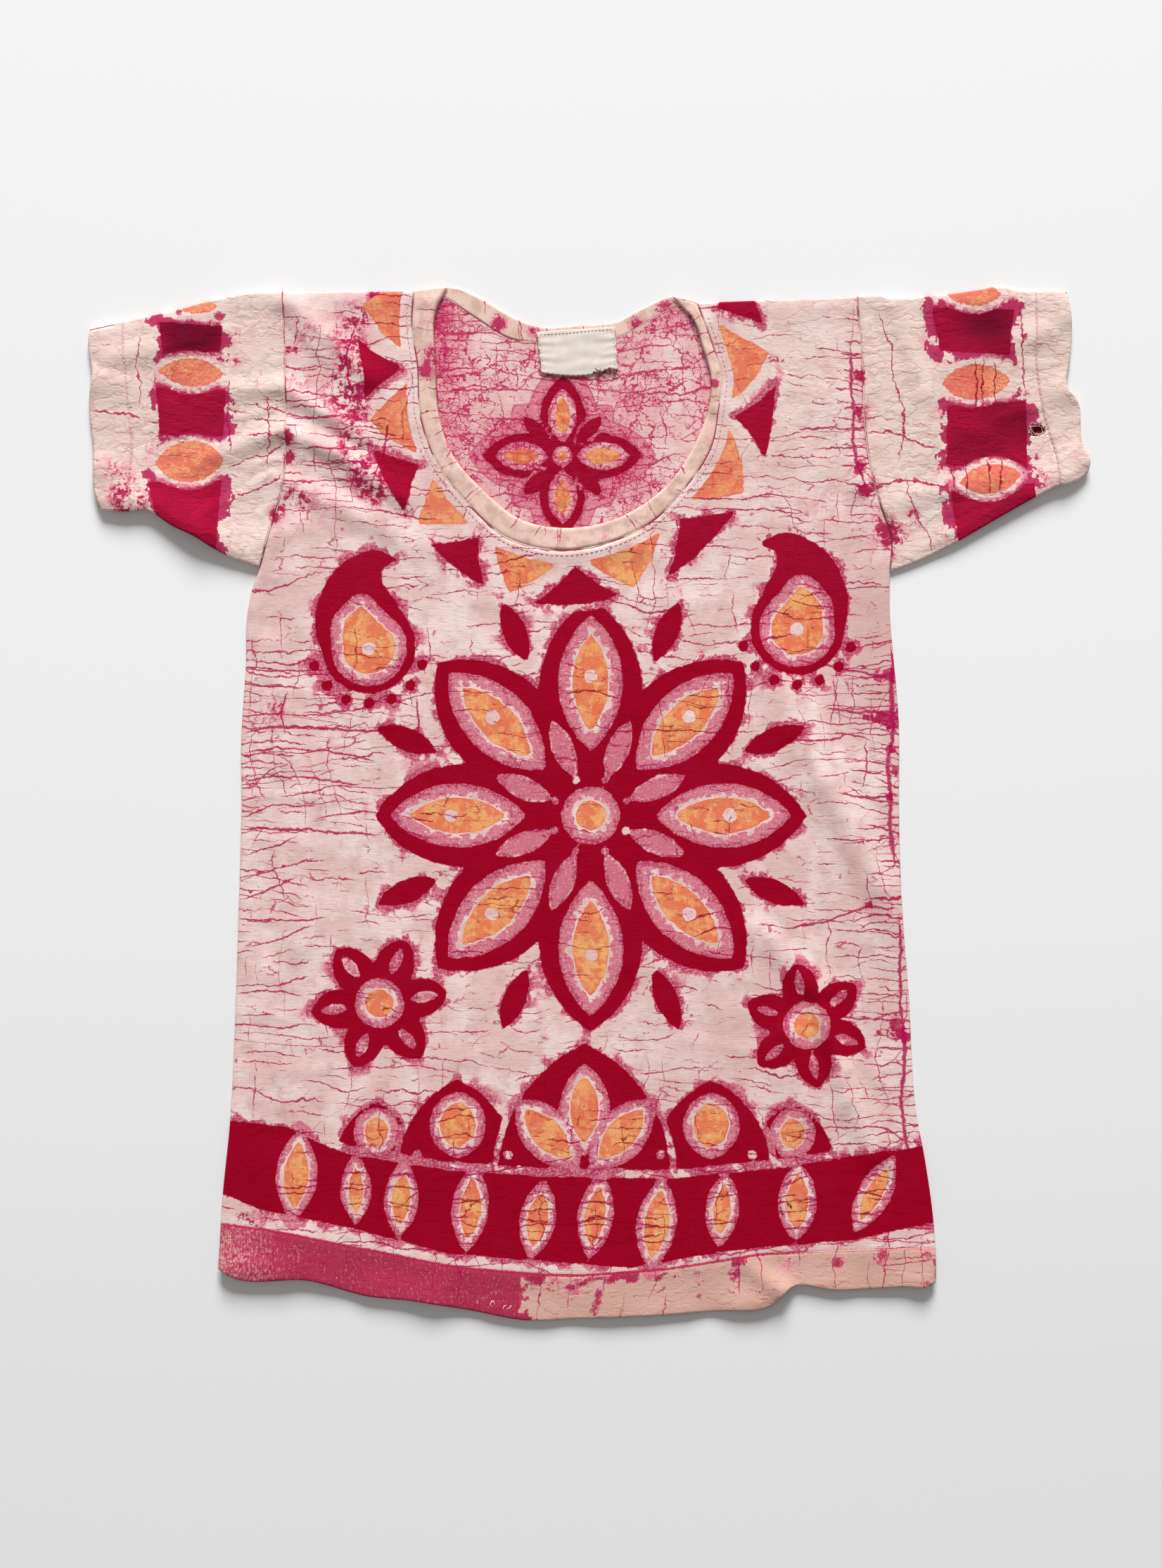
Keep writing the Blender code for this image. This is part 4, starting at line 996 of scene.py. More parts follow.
def backPanel():
    # one grid, whose upper edge runs over the shoulders and round the shallow back neck
    stations = evenly(0, 1, cells["backRows"])
    left, leftShoulder, leftNeck = bodySide("Left", stations)
    right, rightShoulder, rightNeck = bodySide("Right", stations)
    neck = setOff(curveAt(neckBack, evenly(0, 1, cells["backNeck"]))[:, :2], cloth["seamGap"] / 2)
    neck[0], neck[-1] = leftNeck, rightNeck
    shoulder = cells["backShoulder"]
    top = np.vstack([
        evenly(leftShoulder, leftNeck, shoulder), neck[1:-1], evenly(rightNeck, rightShoulder, shoulder),
    ])
    hem = fitted(curveAt(outline["hem"], np.linspace(0, 1, len(top))), left[0], right[0])
    grid, drop = rolledSides(patch(hem, top, left, right), cells["backRows"])
    lines = shoulder + cloth["rollLines"]
    drop[-1, :lines] = 1
    drop[-1, -lines:] = 1
    grid, drop = withRoll(grid, drop, 0, True)
    return grid, drop[..., 0]


def sleeveGrid(name):
    # one layer of a sleeve: rows from the armpit fold up to the shoulder fold, out to the cuff
    parts = ("sleeveTop", "sleeveUnder", "cuff", "armhole", "cuffStitch")
    topEdge, underEdge, cuff, armhole, stitch = (outline[part + name] for part in parts)
    way = 1 if name == "Left" else -1
    seam = np.array([-way * cloth["seamGap"] / 2, 0])
    inset = np.array([0, cloth["wall"] / 2])
    shoulder, armpit = np.array(armhole[-1]) + seam - inset, np.array(armhole[0]) + seam + inset
    cuffTop, cuffUnder = np.array(cuff[0]) - inset, np.array(cuff[-1]) + inset
    length = abs(cuff[0][0] - armhole[-1][0])
    turnUp = 1 - abs(cuff[0][0] - stitch[0][0]) / length
    near = np.array(edgeLines) / length
    inner = cells["sleeveColumns"]
    out = np.concatenate([
        [0.0], onward(0, turnUp - near[-1], inner), turnUp - near[1::-1], [turnUp], turnUp + near,
        onward(turnUp + near[-1], 1 - near[-1], cuffLines), 1 - near[1::-1], [1.0],
    ])
    turn = inner + len(near)
    over = fitted(curveAt(topEdge, out), shoulder, cuffTop)
    under = fitted(curveAt(underEdge, out), armpit, cuffUnder)
    stations = armholeShares(*cells["sleeveRows"])
    sewn = fitted(curveAt(armhole, stations) + seam, armpit, shoulder)
    outer = fitted(curveAt(cuff[::-1], stations), cuffUnder, cuffTop)
    middle = fitted(curveAt(stitch[::-1], stations), under[turn], over[turn])
    grid = np.concatenate([
        patch(under[:turn + 1], over[:turn + 1], sewn, middle),
        patch(under[turn:], over[turn:], middle, outer)[:, 1:],
    ], axis=1)
    if way > 0:
        grid = grid[:, ::-1]
    drop = np.zeros(grid.shape[:2] + (1,))
    drop[[0, -1]] = 1
    grid, drop = withRoll(grid, drop, 0, False)
    grid, drop = withRoll(grid, drop, 0, True)
    return grid, drop[..., 0], middle, outer


def neckStrip(table, along, across):
    # rows from a binding's seam to its free edge, columns along it
    rows = curveAt(table, evenly(0, 1, along))
    seam, free = setOff(rows[:, :2], -cloth["seamGap"] / 2), rows[:, 2:]
    share = evenly(0, 1, across)[:, None, None]
    grid = (1 - share) * seam[None] + share * free[None]
    grid[:, 0] += (cloth["seamGap"] / 2, -cloth["wall"] / 2)
    grid[:, -1] -= (cloth["seamGap"] / 2, cloth["wall"] / 2)
    return grid


def edgeRound(away, reach=1.2, depth=0.42):
    # how far a turned edge sinks: a quarter circle over its last stretch
    return depth * (1 - np.sqrt(1 - np.clip(1 - away / reach, 0, 1) ** 2))


def storeField(mesh, name, values):
    # one number for each point, which the material reads by name
    mesh.attributes.new(name, "FLOAT", "POINT").data.foreach_set("value", values)


def linked(name, data):
    # a new object in the scene, at the origin
    thing = bpy.data.objects.new(name, data)
    bpy.context.scene.collection.objects.link(thing)
    return thing


def clothMesh(name, points, fields, wall, layers=None, cutAway=None, ring=False):
    # a grid made a mesh without its blank cells, its pattern fields as attributes, and its wall
    used = ~np.isnan(points[..., 0])
    number = np.where(used, np.arange(used.size).reshape(used.shape), -1)
    if ring:
        number = np.concatenate([number, number[:1]])
        used = np.concatenate([used, used[:1]])
    quads = np.stack([number[:-1, :-1], number[:-1, 1:], number[1:, 1:], number[1:, :-1]], axis=-1)
    keep = (quads >= 0).all(axis=-1)
    if cutAway is not None:
        keep &= ~cutAway.ravel()[np.maximum(quads, 0)].all(axis=-1)
    quads = quads[keep]
    kept, quads = np.unique(quads, return_inverse=True)
    quads = quads.reshape(-1, 4)
    mesh = bpy.data.meshes.new(name)
    mesh.vertices.add(len(kept))
    mesh.vertices.foreach_set("co", (points.reshape(-1, 3)[kept] * mm).ravel())
    mesh.loops.add(quads.size)
    mesh.loops.foreach_set("vertex_index", quads.ravel())
    mesh.polygons.add(len(quads))
    mesh.polygons.foreach_set("loop_start", np.arange(0, quads.size, 4))
    mesh.update(calc_edges=True)
    mesh.validate()
    mesh.shade_smooth()
    for key, values in fields.items():
        values = np.nan_to_num(np.broadcast_to(values, points.shape[:2]))
        storeField(mesh, key, values.ravel()[kept])
    piece = linked(name, mesh)
    thick = piece.modifiers.new("wall", "SOLIDIFY")
    thick.thickness = wall * mm
    thick.offset = 0
    if layers is not None:
        group = piece.vertex_groups.new(name="layers")
        share = np.round(np.broadcast_to(layers, points.shape[:2]).ravel()[kept], 2)
        for value in np.unique(share):
            group.add(np.flatnonzero(share == value).tolist(), float(value), "REPLACE")
        thick.vertex_group = "layers"
        thick.thickness_vertex_group = 0
    return piece


def threadMesh(name, spines, radii, sides, dyed):
    # many threads at once: a ring of points round each place on each spine, closed by end caps;
    # spines are threads x stations x 3, radii threads x stations
    count, stations = spines.shape[:2]
    along = np.gradient(spines, axis=1)
    along /= np.linalg.norm(along, axis=-1, keepdims=True)
    across = np.cross(along, (0.03, 0.02, 1.0))
    across /= np.linalg.norm(across, axis=-1, keepdims=True)
    over = np.cross(across, along)
    angles = np.arange(sides) * 2 * np.pi / sides
    ring = np.cos(angles)[:, None] * across[:, :, None] + np.sin(angles)[:, None] * over[:, :, None]
    points = spines[:, :, None] + radii[:, :, None, None] * ring
    first = (np.arange(count) * stations * sides)[:, None, None]
    station = (np.arange(stations - 1) * sides)[None, :, None]
    side = np.arange(sides)[None, None, :]
    after = (side + 1) % sides
    corners = [station + side, station + after, station + sides + after, station + sides + side]
    quads = np.stack([first + corner for corner in corners], axis=-1).reshape(-1, 4)
    ends = np.arange(sides)
    caps = [(number + ends[::-1]).tolist() for number in first.ravel()]
    caps += [(number + (stations - 1) * sides + ends).tolist() for number in first.ravel()]
    mesh = bpy.data.meshes.new(name)
    mesh.from_pydata((points.reshape(-1, 3) * mm).tolist(), [], quads.tolist() + caps)
    mesh.update()
    mesh.shade_smooth()
    storeField(mesh, "dyed", np.repeat(np.asarray(dyed, float), stations * sides))
    return linked(name, mesh)


class Wire:
    # a socket of numbers: each operator on it adds a Math node
    def __init__(self, paint, socket):
        self.paint, self.socket = paint, socket

    def __add__(self, other):
        return self.paint.maths("ADD", self, other)

    def __radd__(self, other):
        return self.paint.maths("ADD", other, self)

    def __sub__(self, other):
        return self.paint.maths("SUBTRACT", self, other)

    def __rsub__(self, other):
        return self.paint.maths("SUBTRACT", other, self)

    def __mul__(self, other):
        return self.paint.maths("MULTIPLY", self, other)

    def __rmul__(self, other):
        return self.paint.maths("MULTIPLY", other, self)

    def __truediv__(self, other):
        return self.paint.maths("DIVIDE", self, other)

    def __rtruediv__(self, other):
        return self.paint.maths("DIVIDE", other, self)


class Paint:
    # one material and its nodes
    def __init__(self, name):
        self.material = bpy.data.materials.new(name)
        self.material.use_nodes = True
        self.tree = self.material.node_tree
        self.shader = self.tree.nodes["Principled BSDF"]

    def node(self, kind, settings=None, sockets=None):
        node = self.tree.nodes.new(kind)
        for key, value in (settings or {}).items():
            setattr(node, key, value)
        self.plug(node, sockets or {})
        return node

    def plug(self, node, sockets):
        for key, value in sockets.items():
            if isinstance(value, Wire):
                self.tree.links.new(value.socket, node.inputs[key])
            else:
                node.inputs[key].default_value = value

    def out(self, node, name=0):
        return Wire(self, node.outputs[name])

    def maths(self, operation, *values):
        return self.out(self.node("ShaderNodeMath", {"operation": operation}, dict(enumerate(values))))

    def smooth(self, value, low, high):
        # 0 below low, 1 above high
        sockets = {"Value": value, "From Min": low, "From Max": high}
        return self.out(self.node("ShaderNodeMapRange", {"interpolation_type": "SMOOTHSTEP"}, sockets))

    def fade(self, value, low, high):
        # 1 below low, 0 above high
        return 1 - self.smooth(value, low, high)

    def most(self, first, second):
        return self.maths("MAXIMUM", first, second)

    def attribute(self, name):
        return self.out(self.node("ShaderNodeAttribute", {"attribute_name": name}), "Fac")

    def place(self):
        # where a point of the cloth lies, in millimetres
        spot = self.out(self.node("ShaderNodeTexCoord"), "Object")
        return self.out(self.node("ShaderNodeMapping", {}, {"Vector": spot, "Scale": (1000, 1000, 1000)}))

    def noise(self, place, size, detail=2.0, rough=0.5, seed=0, stretch=(1, 1), turn=0.0):
        # grains of a size in millimetres, longer along x or y by the stretch
        shift = (seed * 17.31, seed * 9.77, 0)
        scale = (1 / (size * stretch[0]), 1 / (size * stretch[1]), 0)
        sockets = {"Vector": place, "Location": shift, "Scale": scale, "Rotation": (0, 0, np.radians(turn))}
        moved = self.out(self.node("ShaderNodeMapping", {}, sockets))
        sockets = {"Vector": moved, "Scale": 1.0, "Detail": detail, "Roughness": rough}
        return self.out(self.node("ShaderNodeTexNoise", {"noise_dimensions": "2D"}, sockets))

    def blend(self, share, first, second, way="MIX"):
        # two colours mixed by a share
        node = self.node("ShaderNodeMix", {"data_type": "RGBA", "blend_type": way}, {0: share})
        for index, colour in ((6, first), (7, second)):
            self.plug(node, {index: colour if isinstance(colour, Wire) else (*colour, 1)})
        return self.out(node, 2)

    def finish(self, colour, roughness, height=None, strength=0.3, distance=0.3, **plain):
        # the surface: colour, roughness and bump, and sockets that are the same all over
        self.plug(self.shader, {"Base Color": colour, "Roughness": roughness})
        self.plug(self.shader, {name.replace("_", " "): value for name, value in plain.items()})
        if height is not None:
            sockets = {"Strength": strength, "Distance": distance * mm, "Height": height}
            bump = self.node("ShaderNodeBump", {}, sockets)
            self.plug(self.shader, {"Normal": self.out(bump)})
        return self.material


def crackWeb(paint, place, size, stretch, cover, width, seed, bend=1.9):
    # the edges between uneven cells, bent by one noise and shown where another lets them
    sway = {"Vector": place, "Scale": 1 / size, "Detail": 3.0, "Roughness": 0.65}
    sway = paint.out(paint.node("ShaderNodeTexNoise", {"noise_dimensions": "2D"}, sway), 1)
    sway = paint.node("ShaderNodeVectorMath", {"operation": "SCALE"}, {0: sway, "Scale": size * bend})
    place = paint.out(paint.node("ShaderNodeVectorMath", {}, {0: place, 1: paint.out(sway)}))
    bent = {"Vector": place, "Scale": (1 / size / stretch, 1 / size, 0)}
    bent["Location"] = (seed * 7.3, seed * 4.1, 0)
    flat = paint.out(paint.node("ShaderNodeMapping", {}, bent))
    kind = {"feature": "DISTANCE_TO_EDGE", "voronoi_dimensions": "2D"}
    cell = paint.node("ShaderNodeTexVoronoi", kind, {"Vector": flat, "Scale": 1.0, "Randomness": 1.0})
    away = paint.out(cell, "Distance") * size
    gate = paint.noise(place, size * 2.2, 3.0, 0.65, seed + 3)
    shown = paint.smooth(gate, cover, cover + 0.1)
    return paint.fade(away, shown * (width * 0.4), shown * width + 0.02) * shown


crackNames = (*crackSets, "across", "downward")


def cracks(paint, names, waver, beads):
    # where a crack runs: its distance and width are in the cloth, its raggedness is added here
    total = 0.0
    for name in names:
        width = paint.attribute(name + "Width") * beads
        away = paint.maths("ABSOLUTE", paint.attribute(name) + waver)
        line = paint.fade(away, width * 0.45, width * 1.05 + 0.06) * paint.smooth(width, 0.02, 0.16)
        total = paint.most(total, line)
    return total


# Colours of the dyes as the shader takes them, and how the cloth wears them, with the tones of the painted
# shade among them
clothTones = {
    "cream": (0.79, 0.55, 0.522), "pale": (0.885, 0.71, 0.682), "dustAndShade": (0.64, 0.395, 0.37),
    "straw": (0.81, 0.645, 0.59), "shadeBrown": (0.60, 0.37, 0.295), "coral": (0.74, 0.145, 0.15),
    "turned": (0.62, 0.375, 0.30), "crimson": (0.335, 0.0004, 0.0135), "deep": (0.27, 0.0005, 0.012),
    "raspberry": (0.40, 0.009, 0.05), "plum": (0.135, 0.006, 0.027), "wine": (0.385, 0.010, 0.062),
    "inside": (0.50, 0.012, 0.105), "magenta": (0.50, 0.042, 0.122), "pink": (0.70, 0.19, 0.275),
    "blush": (0.80, 0.365, 0.40), "orange": (0.80, 0.235, 0.105), "amber": (0.88, 0.44, 0.165),
    "rust": (0.77, 0.125, 0.075), "crack": (0.44, 0.004, 0.09), "darkCrack": (0.30, 0.008, 0.02),
    "crept": (0.53, 0.052, 0.165),
}



def layered(paint, colour, *coats):
    # each coat laid over the ones before it, by its share, whether dye or painted shade
    for share, dye in coats:
        colour = paint.blend(share, colour, clothTones[dye])
    return colour


# Grain sizes that the cloths share: size in millimetres, detail, roughness and seed
grainSizes = {"grain": (0.62, 2.0, 0.8, 1), "speck": (1.8, 3.0, 0.75, 2), "ripple": (4.2, 2.0, 0.5, 4)}
loop = {"width": 0.82, "height": 0.66, "lean": 1.1}


def cottonGrains(paint, place, shift=0):
    # the same three noises for every cotton, moved by the shift
    sizes = grainSizes.values()
    return (paint.noise(place, size, detail, rough, seed + shift) for size, detail, rough, seed in sizes)


def knitRelief(paint, place):
    # the loops of a fine jersey: columns of small slanting stitches
    parts = paint.node("ShaderNodeSeparateXYZ", {}, {0: place})
    x, y = paint.out(parts, 0), paint.out(parts, 1)
    column = x / loop["width"]
    across = paint.maths("ABSOLUTE", paint.maths("FRACT", column) - 0.5)
    slant = paint.maths("SINE", (y / loop["height"] + across * loop["lean"]) * (2 * np.pi))
    return paint.fade(across, 0.3, 0.5) * (slant * 0.25 + 0.75)


def batikCloth(name, ragged=1.0, fringe=3.2, inside=False, shift=0):
    # ground, granular pink, crimson, orange and cracks, laid over each other as the dye baths did
    paint = Paint(name)
    place = paint.place()
    red, orange, dye = paint.attribute("red"), paint.attribute("orange"), paint.attribute("dye")
    seam, stitch = paint.attribute("seam"), paint.attribute("stitch")

    grain, speck, ripple = cottonGrains(paint, place, shift)
    streak = paint.noise(place, 0.8, 3.0, 0.6, 3 + shift, (11, 1))
    cloud = paint.noise(place, 30.0, 3.0, 0.55, 5 + shift)
    patchy = paint.noise(place, 13.0, 3.0, 0.62, 6 + shift)
    edgeWork = (patchy - 0.5) * 2.2 + (ripple - 0.5) * 1.3 + (grain - 0.5) * 0.55
    redHere, orangeHere = red + edgeWork, orange + edgeWork * 1.1 + (speck - 0.5) * ((ragged - 1.0) * 1.6)
    if not inside:
        uneven = patchy + (ripple - 0.5) * 0.7 + (speck - 0.5) * 0.5
        dye = dye * (paint.smooth(uneven, 0.32, 0.62) * 1.3 + 0.12)

    # creases: thin valleys where a noise crosses its middle, with painted brown shade in them on the
    # plainest cloth
    straw, turnedUp = paint.attribute("straw"), paint.attribute("turned")
    crease = paint.noise(place, 13.0, 3.0, 0.56, 9 + shift, (1.7, 1), -18.0)
    valley = paint.fade(paint.maths("ABSOLUTE", crease - 0.5), 0.0, 0.07)
    creased = straw * 1.1 + turnedUp * 0.7 + 0.3

    # ground: cream with clouds, a pink cast and fine dark slubs, painted darker in the shaded patches, and
    # painted brown shade in the crease valleys
    valleyShade = paint.smooth(valley + (patchy - 0.5) * 1.2, 0.2, 1.1) * creased
    ground = layered(
        paint, paint.blend(paint.smooth(cloud, 0.36, 0.64), clothTones["cream"], clothTones["pale"]),
        (paint.smooth(patchy, 0.5, 0.74) * 0.5, "dustAndShade"), (straw, "straw"), (turnedUp, "turned"),
        (paint.attribute("dustAndShade") + (patchy - 0.5) * 0.1, "dustAndShade"),
        (paint.smooth(streak, 0.5, 0.72) * 0.55, "dustAndShade"),
        (paint.smooth(grain, 0.52, 0.8) * (0.45 - straw * 0.35), "blush"), (valleyShade * 0.3, "shadeBrown"),
    )

    # granular pink: a halo outside the crimson, the rings round the orange, and the stained parts
    near = paint.smooth(orange, -11.5, -9.0) * (1 - paint.attribute("waxed"))
    loose = paint.smooth(patchy * 0.7 + cloud * 0.5, 0.52, 0.78) * 11.0 + 0.5
    reach = loose * (1 - near) + near * 30.0
    gap = paint.smooth(patchy * 0.5 + speck * 0.3 + ripple * 0.45, 0.54, 0.8) * 3.6 + 0.6
    clearOfOrange = paint.fade(orangeHere + gap, -0.5, 0.15)
    halo = paint.fade(0 - redHere, reach * 0.35, reach) * clearOfOrange
    # inside, a band of pink goes round each motif, with a thin line of dye round it
    band = paint.smooth(red, -7.6, -7.2) if inside else 1.0
    stain = paint.most(paint.most(halo * band * 0.84, dye * 0.9), paint.attribute("granular"))
    stain = paint.maths("MINIMUM", stain, 1.0)
    if inside:
        stain = paint.most(stain, band * clearOfOrange * 0.86)
    grains = speck * 0.7 + grain * 0.65 + streak * 0.2
    granules = paint.smooth(grains + stain * 0.62, 1.12, 1.32) * paint.smooth(stain, 0.05, 0.3)
    paleShare = paint.smooth(grain + speck * 0.5, *((0.45, 0.8) if inside else (0.55, 0.95)))
    pinkTone = paint.blend(paleShare, clothTones["magenta"], clothTones["pink"])
    atCrimson = paint.smooth(redHere + (ripple - 0.5) * 2.0, -2.4, -0.6)
    pinkTone = paint.blend(atCrimson * 0.6, pinkTone, clothTones["wine"])
    colour = paint.blend(paint.smooth(stain, 0.0, 0.9) * 0.75, ground, clothTones["blush"])
    colour = paint.blend(granules * 0.92, colour, pinkTone)

    # full pink, in the stains and on the turned-up edge, which shows the loops of the wrong side as
    # light flecks, most where its dye is thin
    dye = paint.most(dye, paint.attribute("turnedPink"))
    full = paint.smooth(dye + (speck - 0.5) * 1.5 + (ripple - 0.5) * 0.9, 1.0, 1.25)
    paleShare = paint.smooth(grain + speck * 0.3 + streak * 0.3, 0.72, 1.1)
    purl = paint.noise(place, 1.5, 3.0, 0.8, 10 + shift, (1, 2.0))
    thin = paint.fade(dye, 1.3, 2.9)
    flecks = paint.smooth(purl * 0.9 + grain * 0.25 + patchy * 0.25 + thin * 0.13, 0.77, 0.98)
    fullTone = layered(
        paint, paint.blend(paleShare, clothTones["magenta"], clothTones["pink"]),
        (paint.smooth(patchy + speck * 0.5, 0.5, 0.8) * 0.9, "wine"),
        (turnedUp * (0.85 - thin * 0.65), "wine"), (flecks * turnedUp * 0.68, "blush"),
    )
    colour = paint.blend(full * 0.95, colour, fullTone)

    # orange, mottled with rust and amber
    golden = paint.smooth(patchy + (ripple - 0.5) * 0.4, 0.42, 0.6)
    rusty = paint.smooth(speck * 0.45 + grain * 0.95 + (cloud - 0.5) * 0.6, 0.6, 0.92)
    bare = paint.smooth(ripple * 0.5 + speck * 0.6 + grain * 0.3, 0.78, 0.95)
    redder = paint.smooth(speck * 0.9 + grain * 0.4, 0.5, 0.82) * 0.8 + 0.2
    yolk = layered(
        paint, paint.blend(golden, clothTones["orange"], clothTones["amber"]),
        (rusty * 0.85, "rust"), (bare * 0.55, "pale"), (paint.attribute("coral") * redder, "coral"),
        (paint.fade(orangeHere, 0.1, 1.5) * 0.3, "rust"),
    )
    orangeMask = paint.smooth(orangeHere, -0.2, 0.2)
    colour = paint.blend(orangeMask, colour, yolk)

    # the fringe where the crimson crept under the wax, widest where it ran
    runs = paint.noise(place, 3.2, 2.0, 0.6, 8 + shift, (1, 2.2))
    creep = paint.smooth(patchy * 0.6 + cloud * 0.5, 0.46, 0.64) * fringe + (runs - 0.5) * (fringe * 1.1)
    crept = paint.smooth(redHere + creep, -0.15, 0.2)
    crept = crept * paint.fade(orangeHere + gap * 0.5 + ragged * 1.2, -0.5, 0.15)
    creptTone = paint.blend(paint.smooth(grain + speck * 0.6, 0.62, 1.0), clothTones["wine"], clothTones["crept"])
    solid = (ragged - 1.0) / 1.6
    crept = crept * (paint.smooth(grains, 0.66 - 0.3 * solid, 0.86 - 0.3 * solid) * 0.85 + 0.1)
    colour = paint.blend(crept, colour, creptTone)

    # the cracks, densest where the cloth has been crushed
    waver = (ripple - 0.5) * (1.6 + ragged * 0.8) + (grain - 0.5) * 0.6 + (cloud - 0.5) * 6.0
    beads = speck * 1.7 + 0.1
    lines = cracks(paint, crackNames, waver, beads)
    if inside:
        lines = paint.most(lines, crackWeb(paint, place, 12.0, 1.2, 0.53 - dye * 0.34, 0.85, 9))
        lines = paint.most(lines, crackWeb(paint, place, 5.0, 1.1, 0.67 - dye * 0.38, 0.45, 13) * 0.85)
        lines = lines * (1 - orangeMask * 0.6)
        rim = paint.maths("ABSOLUTE", red + 7.5 + (ripple - 0.5) * 0.8)
        rim = paint.fade(rim, 0.25, 0.7) * (0.4 + 0.6 * patchy)
        lines = paint.most(lines, rim * paint.fade(orange, -6.0, -4.5))
    else:
        hair = crackWeb(paint, place, 7.0, 3.4, 0.55, 0.32, 17, 0.9) * paint.attribute("hair")
        lines = paint.most(lines, hair)
    lines = lines * (0.78 + 0.3 * streak)
    lineTone = clothTones["inside"] if inside else clothTones["crack"]
    colour = paint.blend(lines, colour, paint.blend(orangeMask, lineTone, clothTones["darkCrack"]))

    # crimson, rosier and darker in places, with the slubs showing
    crimson = layered(
        paint, paint.blend(paint.attribute("rosy"), clothTones["crimson"], clothTones["raspberry"]),
        (paint.attribute("plum") + (cloud - 0.5) * 0.3 * (ragged - 1.0), "plum"),
        (paint.smooth(streak, 0.42, 0.68) * (0.75 if inside else 0.5), "deep"),
        (paint.smooth(cloud, 0.45, 0.75) * 0.1, "wine"),
        (paint.smooth(grain + speck, 1.25, 1.36) * 0.35, "magenta"), (lines * 0.5, "deep"),
    )
    colour = paint.blend(paint.smooth(redHere, -0.14, 0.14), colour, crimson)

    # the dye that gathered in the seams and stitch lines
    seamLine = paint.fade(seam + (ripple - 0.5) * 1.2, 0.35, 1.1)
    seamLine = seamLine * paint.smooth(patchy + paint.attribute("seamDye"), 0.7, 0.9)
    stitchAway = paint.maths("ABSOLUTE", stitch + (ripple - 0.5) * 0.5)
    stitchLine = paint.fade(stitchAway + (speck - 0.5) * 1.6, 0.5, 1.3) * paint.attribute("stitchDye")
    colour = layered(paint, colour, (seamLine * 0.85, "crack"), (stitchLine, "wine"))

    height = knitRelief(paint, place) * 0.5 + streak * 0.75 + ripple * 0.7
    height = height + (crease * 5.0 - valley * 0.8) * creased
    roughness = 0.86 + (grain - 0.5) * 0.12
    return paint.finish(colour, roughness, height, 0.55, 0.24, Specular_IOR_Level=0.02)


def bindingCloth(name):
    # cream band, browner in soft clouds that are partly its own tone and partly painted shade of its
    # puckers, and a few pink cracks across it
    paint = Paint(name)
    place = paint.place()
    grain, speck, ripple = cottonGrains(paint, place)
    cloud = paint.noise(place, 9.0, 3.0, 0.6, 5)
    dye, edge = paint.attribute("dye"), paint.attribute("seam")
    colour = paint.blend(paint.smooth(cloud, 0.30, 0.58), (0.68, 0.45, 0.365), (0.86, 0.60, 0.515))
    colour = paint.blend(paint.smooth(grain, 0.5, 0.8) * 0.3, colour, (0.60, 0.42, 0.35))
    stain = paint.smooth(speck * 0.7 + grain * 0.65 + dye * 0.55, 1.08, 1.3) * paint.smooth(dye, 0.2, 0.5)
    full = paint.smooth(dye + (speck - 0.5) * 1.3 + (ripple - 0.5), 1.0, 1.2)
    waver = (ripple - 0.5) * 2.4 + (grain - 0.5) * 0.5
    lines = cracks(paint, ("long", "short"), waver, speck * 1.8 + 0.2)
    edge = paint.fade(edge + (ripple - 0.5) * 0.8, 0.2, 0.9) * paint.smooth(cloud + speck * 0.3, 0.62, 0.74)
    coats = ((stain * 0.9, "pink"), (full, "magenta"), (lines * 0.95, "crack"), (edge * 0.4, "crack"))
    colour = layered(paint, colour, *coats)
    height = knitRelief(paint, place) * 0.5 + grain * 0.4 + cloud * 0.5
    return paint.finish(colour, 0.88, height, 0.6, 0.3, Specular_IOR_Level=0.05)


def labelCloth(name):
    # a plain woven tape, off-white with a soft weave
    paint = Paint(name)
    place = paint.place()
    weft, warp = (paint.noise(place, 0.5, 1.0, 0.5, *thread) for thread in ((1, (4, 1)), (2, (1, 4))))
    weave = weft * 0.5 + warp * 0.5
    cloud = paint.noise(place, 9.0, 3.0, 0.6, 3)
    colour = paint.blend(paint.smooth(cloud, 0.35, 0.7), (0.73, 0.65, 0.59), (0.80, 0.72, 0.655))
    colour = paint.blend(paint.smooth(weave, 0.45, 0.65) * 0.3, colour, (0.70, 0.64, 0.57))
    edge = paint.fade(paint.attribute("edge"), 0.4, 1.6)
    colour = paint.blend(edge * 0.35, colour, (0.55, 0.42, 0.38))
    return paint.finish(colour, 0.75, weave, 0.5, 0.15, Specular_IOR_Level=0.2)


def sewingThread(name):
    # spun thread: cream, or crimson where the dye took it
    paint = Paint(name)
    twist = paint.noise(paint.place(), 0.5, 1.0, 0.5, 1)
    pale = paint.blend(twist, (0.70, 0.50, 0.42), (0.84, 0.70, 0.60))
    dark = paint.blend(twist, (0.24, 0.002, 0.015), (0.42, 0.02, 0.08))
    dyed = paint.attribute("dyed")
    colour = paint.blend(paint.smooth(dyed, 0.0, 1.0), pale, dark)
    colour = paint.blend(paint.smooth(dyed, 1.2, 1.8), colour, (0.05, 0.008, 0.014))
    return paint.finish(colour, 0.7, twist, 0.4, 0.1)


print("materials")
frontFinish = batikCloth("batik_cotton_front")
sleeveFinish = batikCloth("batik_cotton_sleeve", ragged=2.6, fringe=7.5, shift=3)
backFinish = batikCloth("batik_cotton_back", shift=5)
insideFinish = batikCloth("batik_cotton_inside", fringe=0.8, inside=True, shift=7)
bindingFinish = bindingCloth("neck_binding")
labelFinish = labelCloth("plain_label")
threadFinish = sewingThread("sewing_thread")


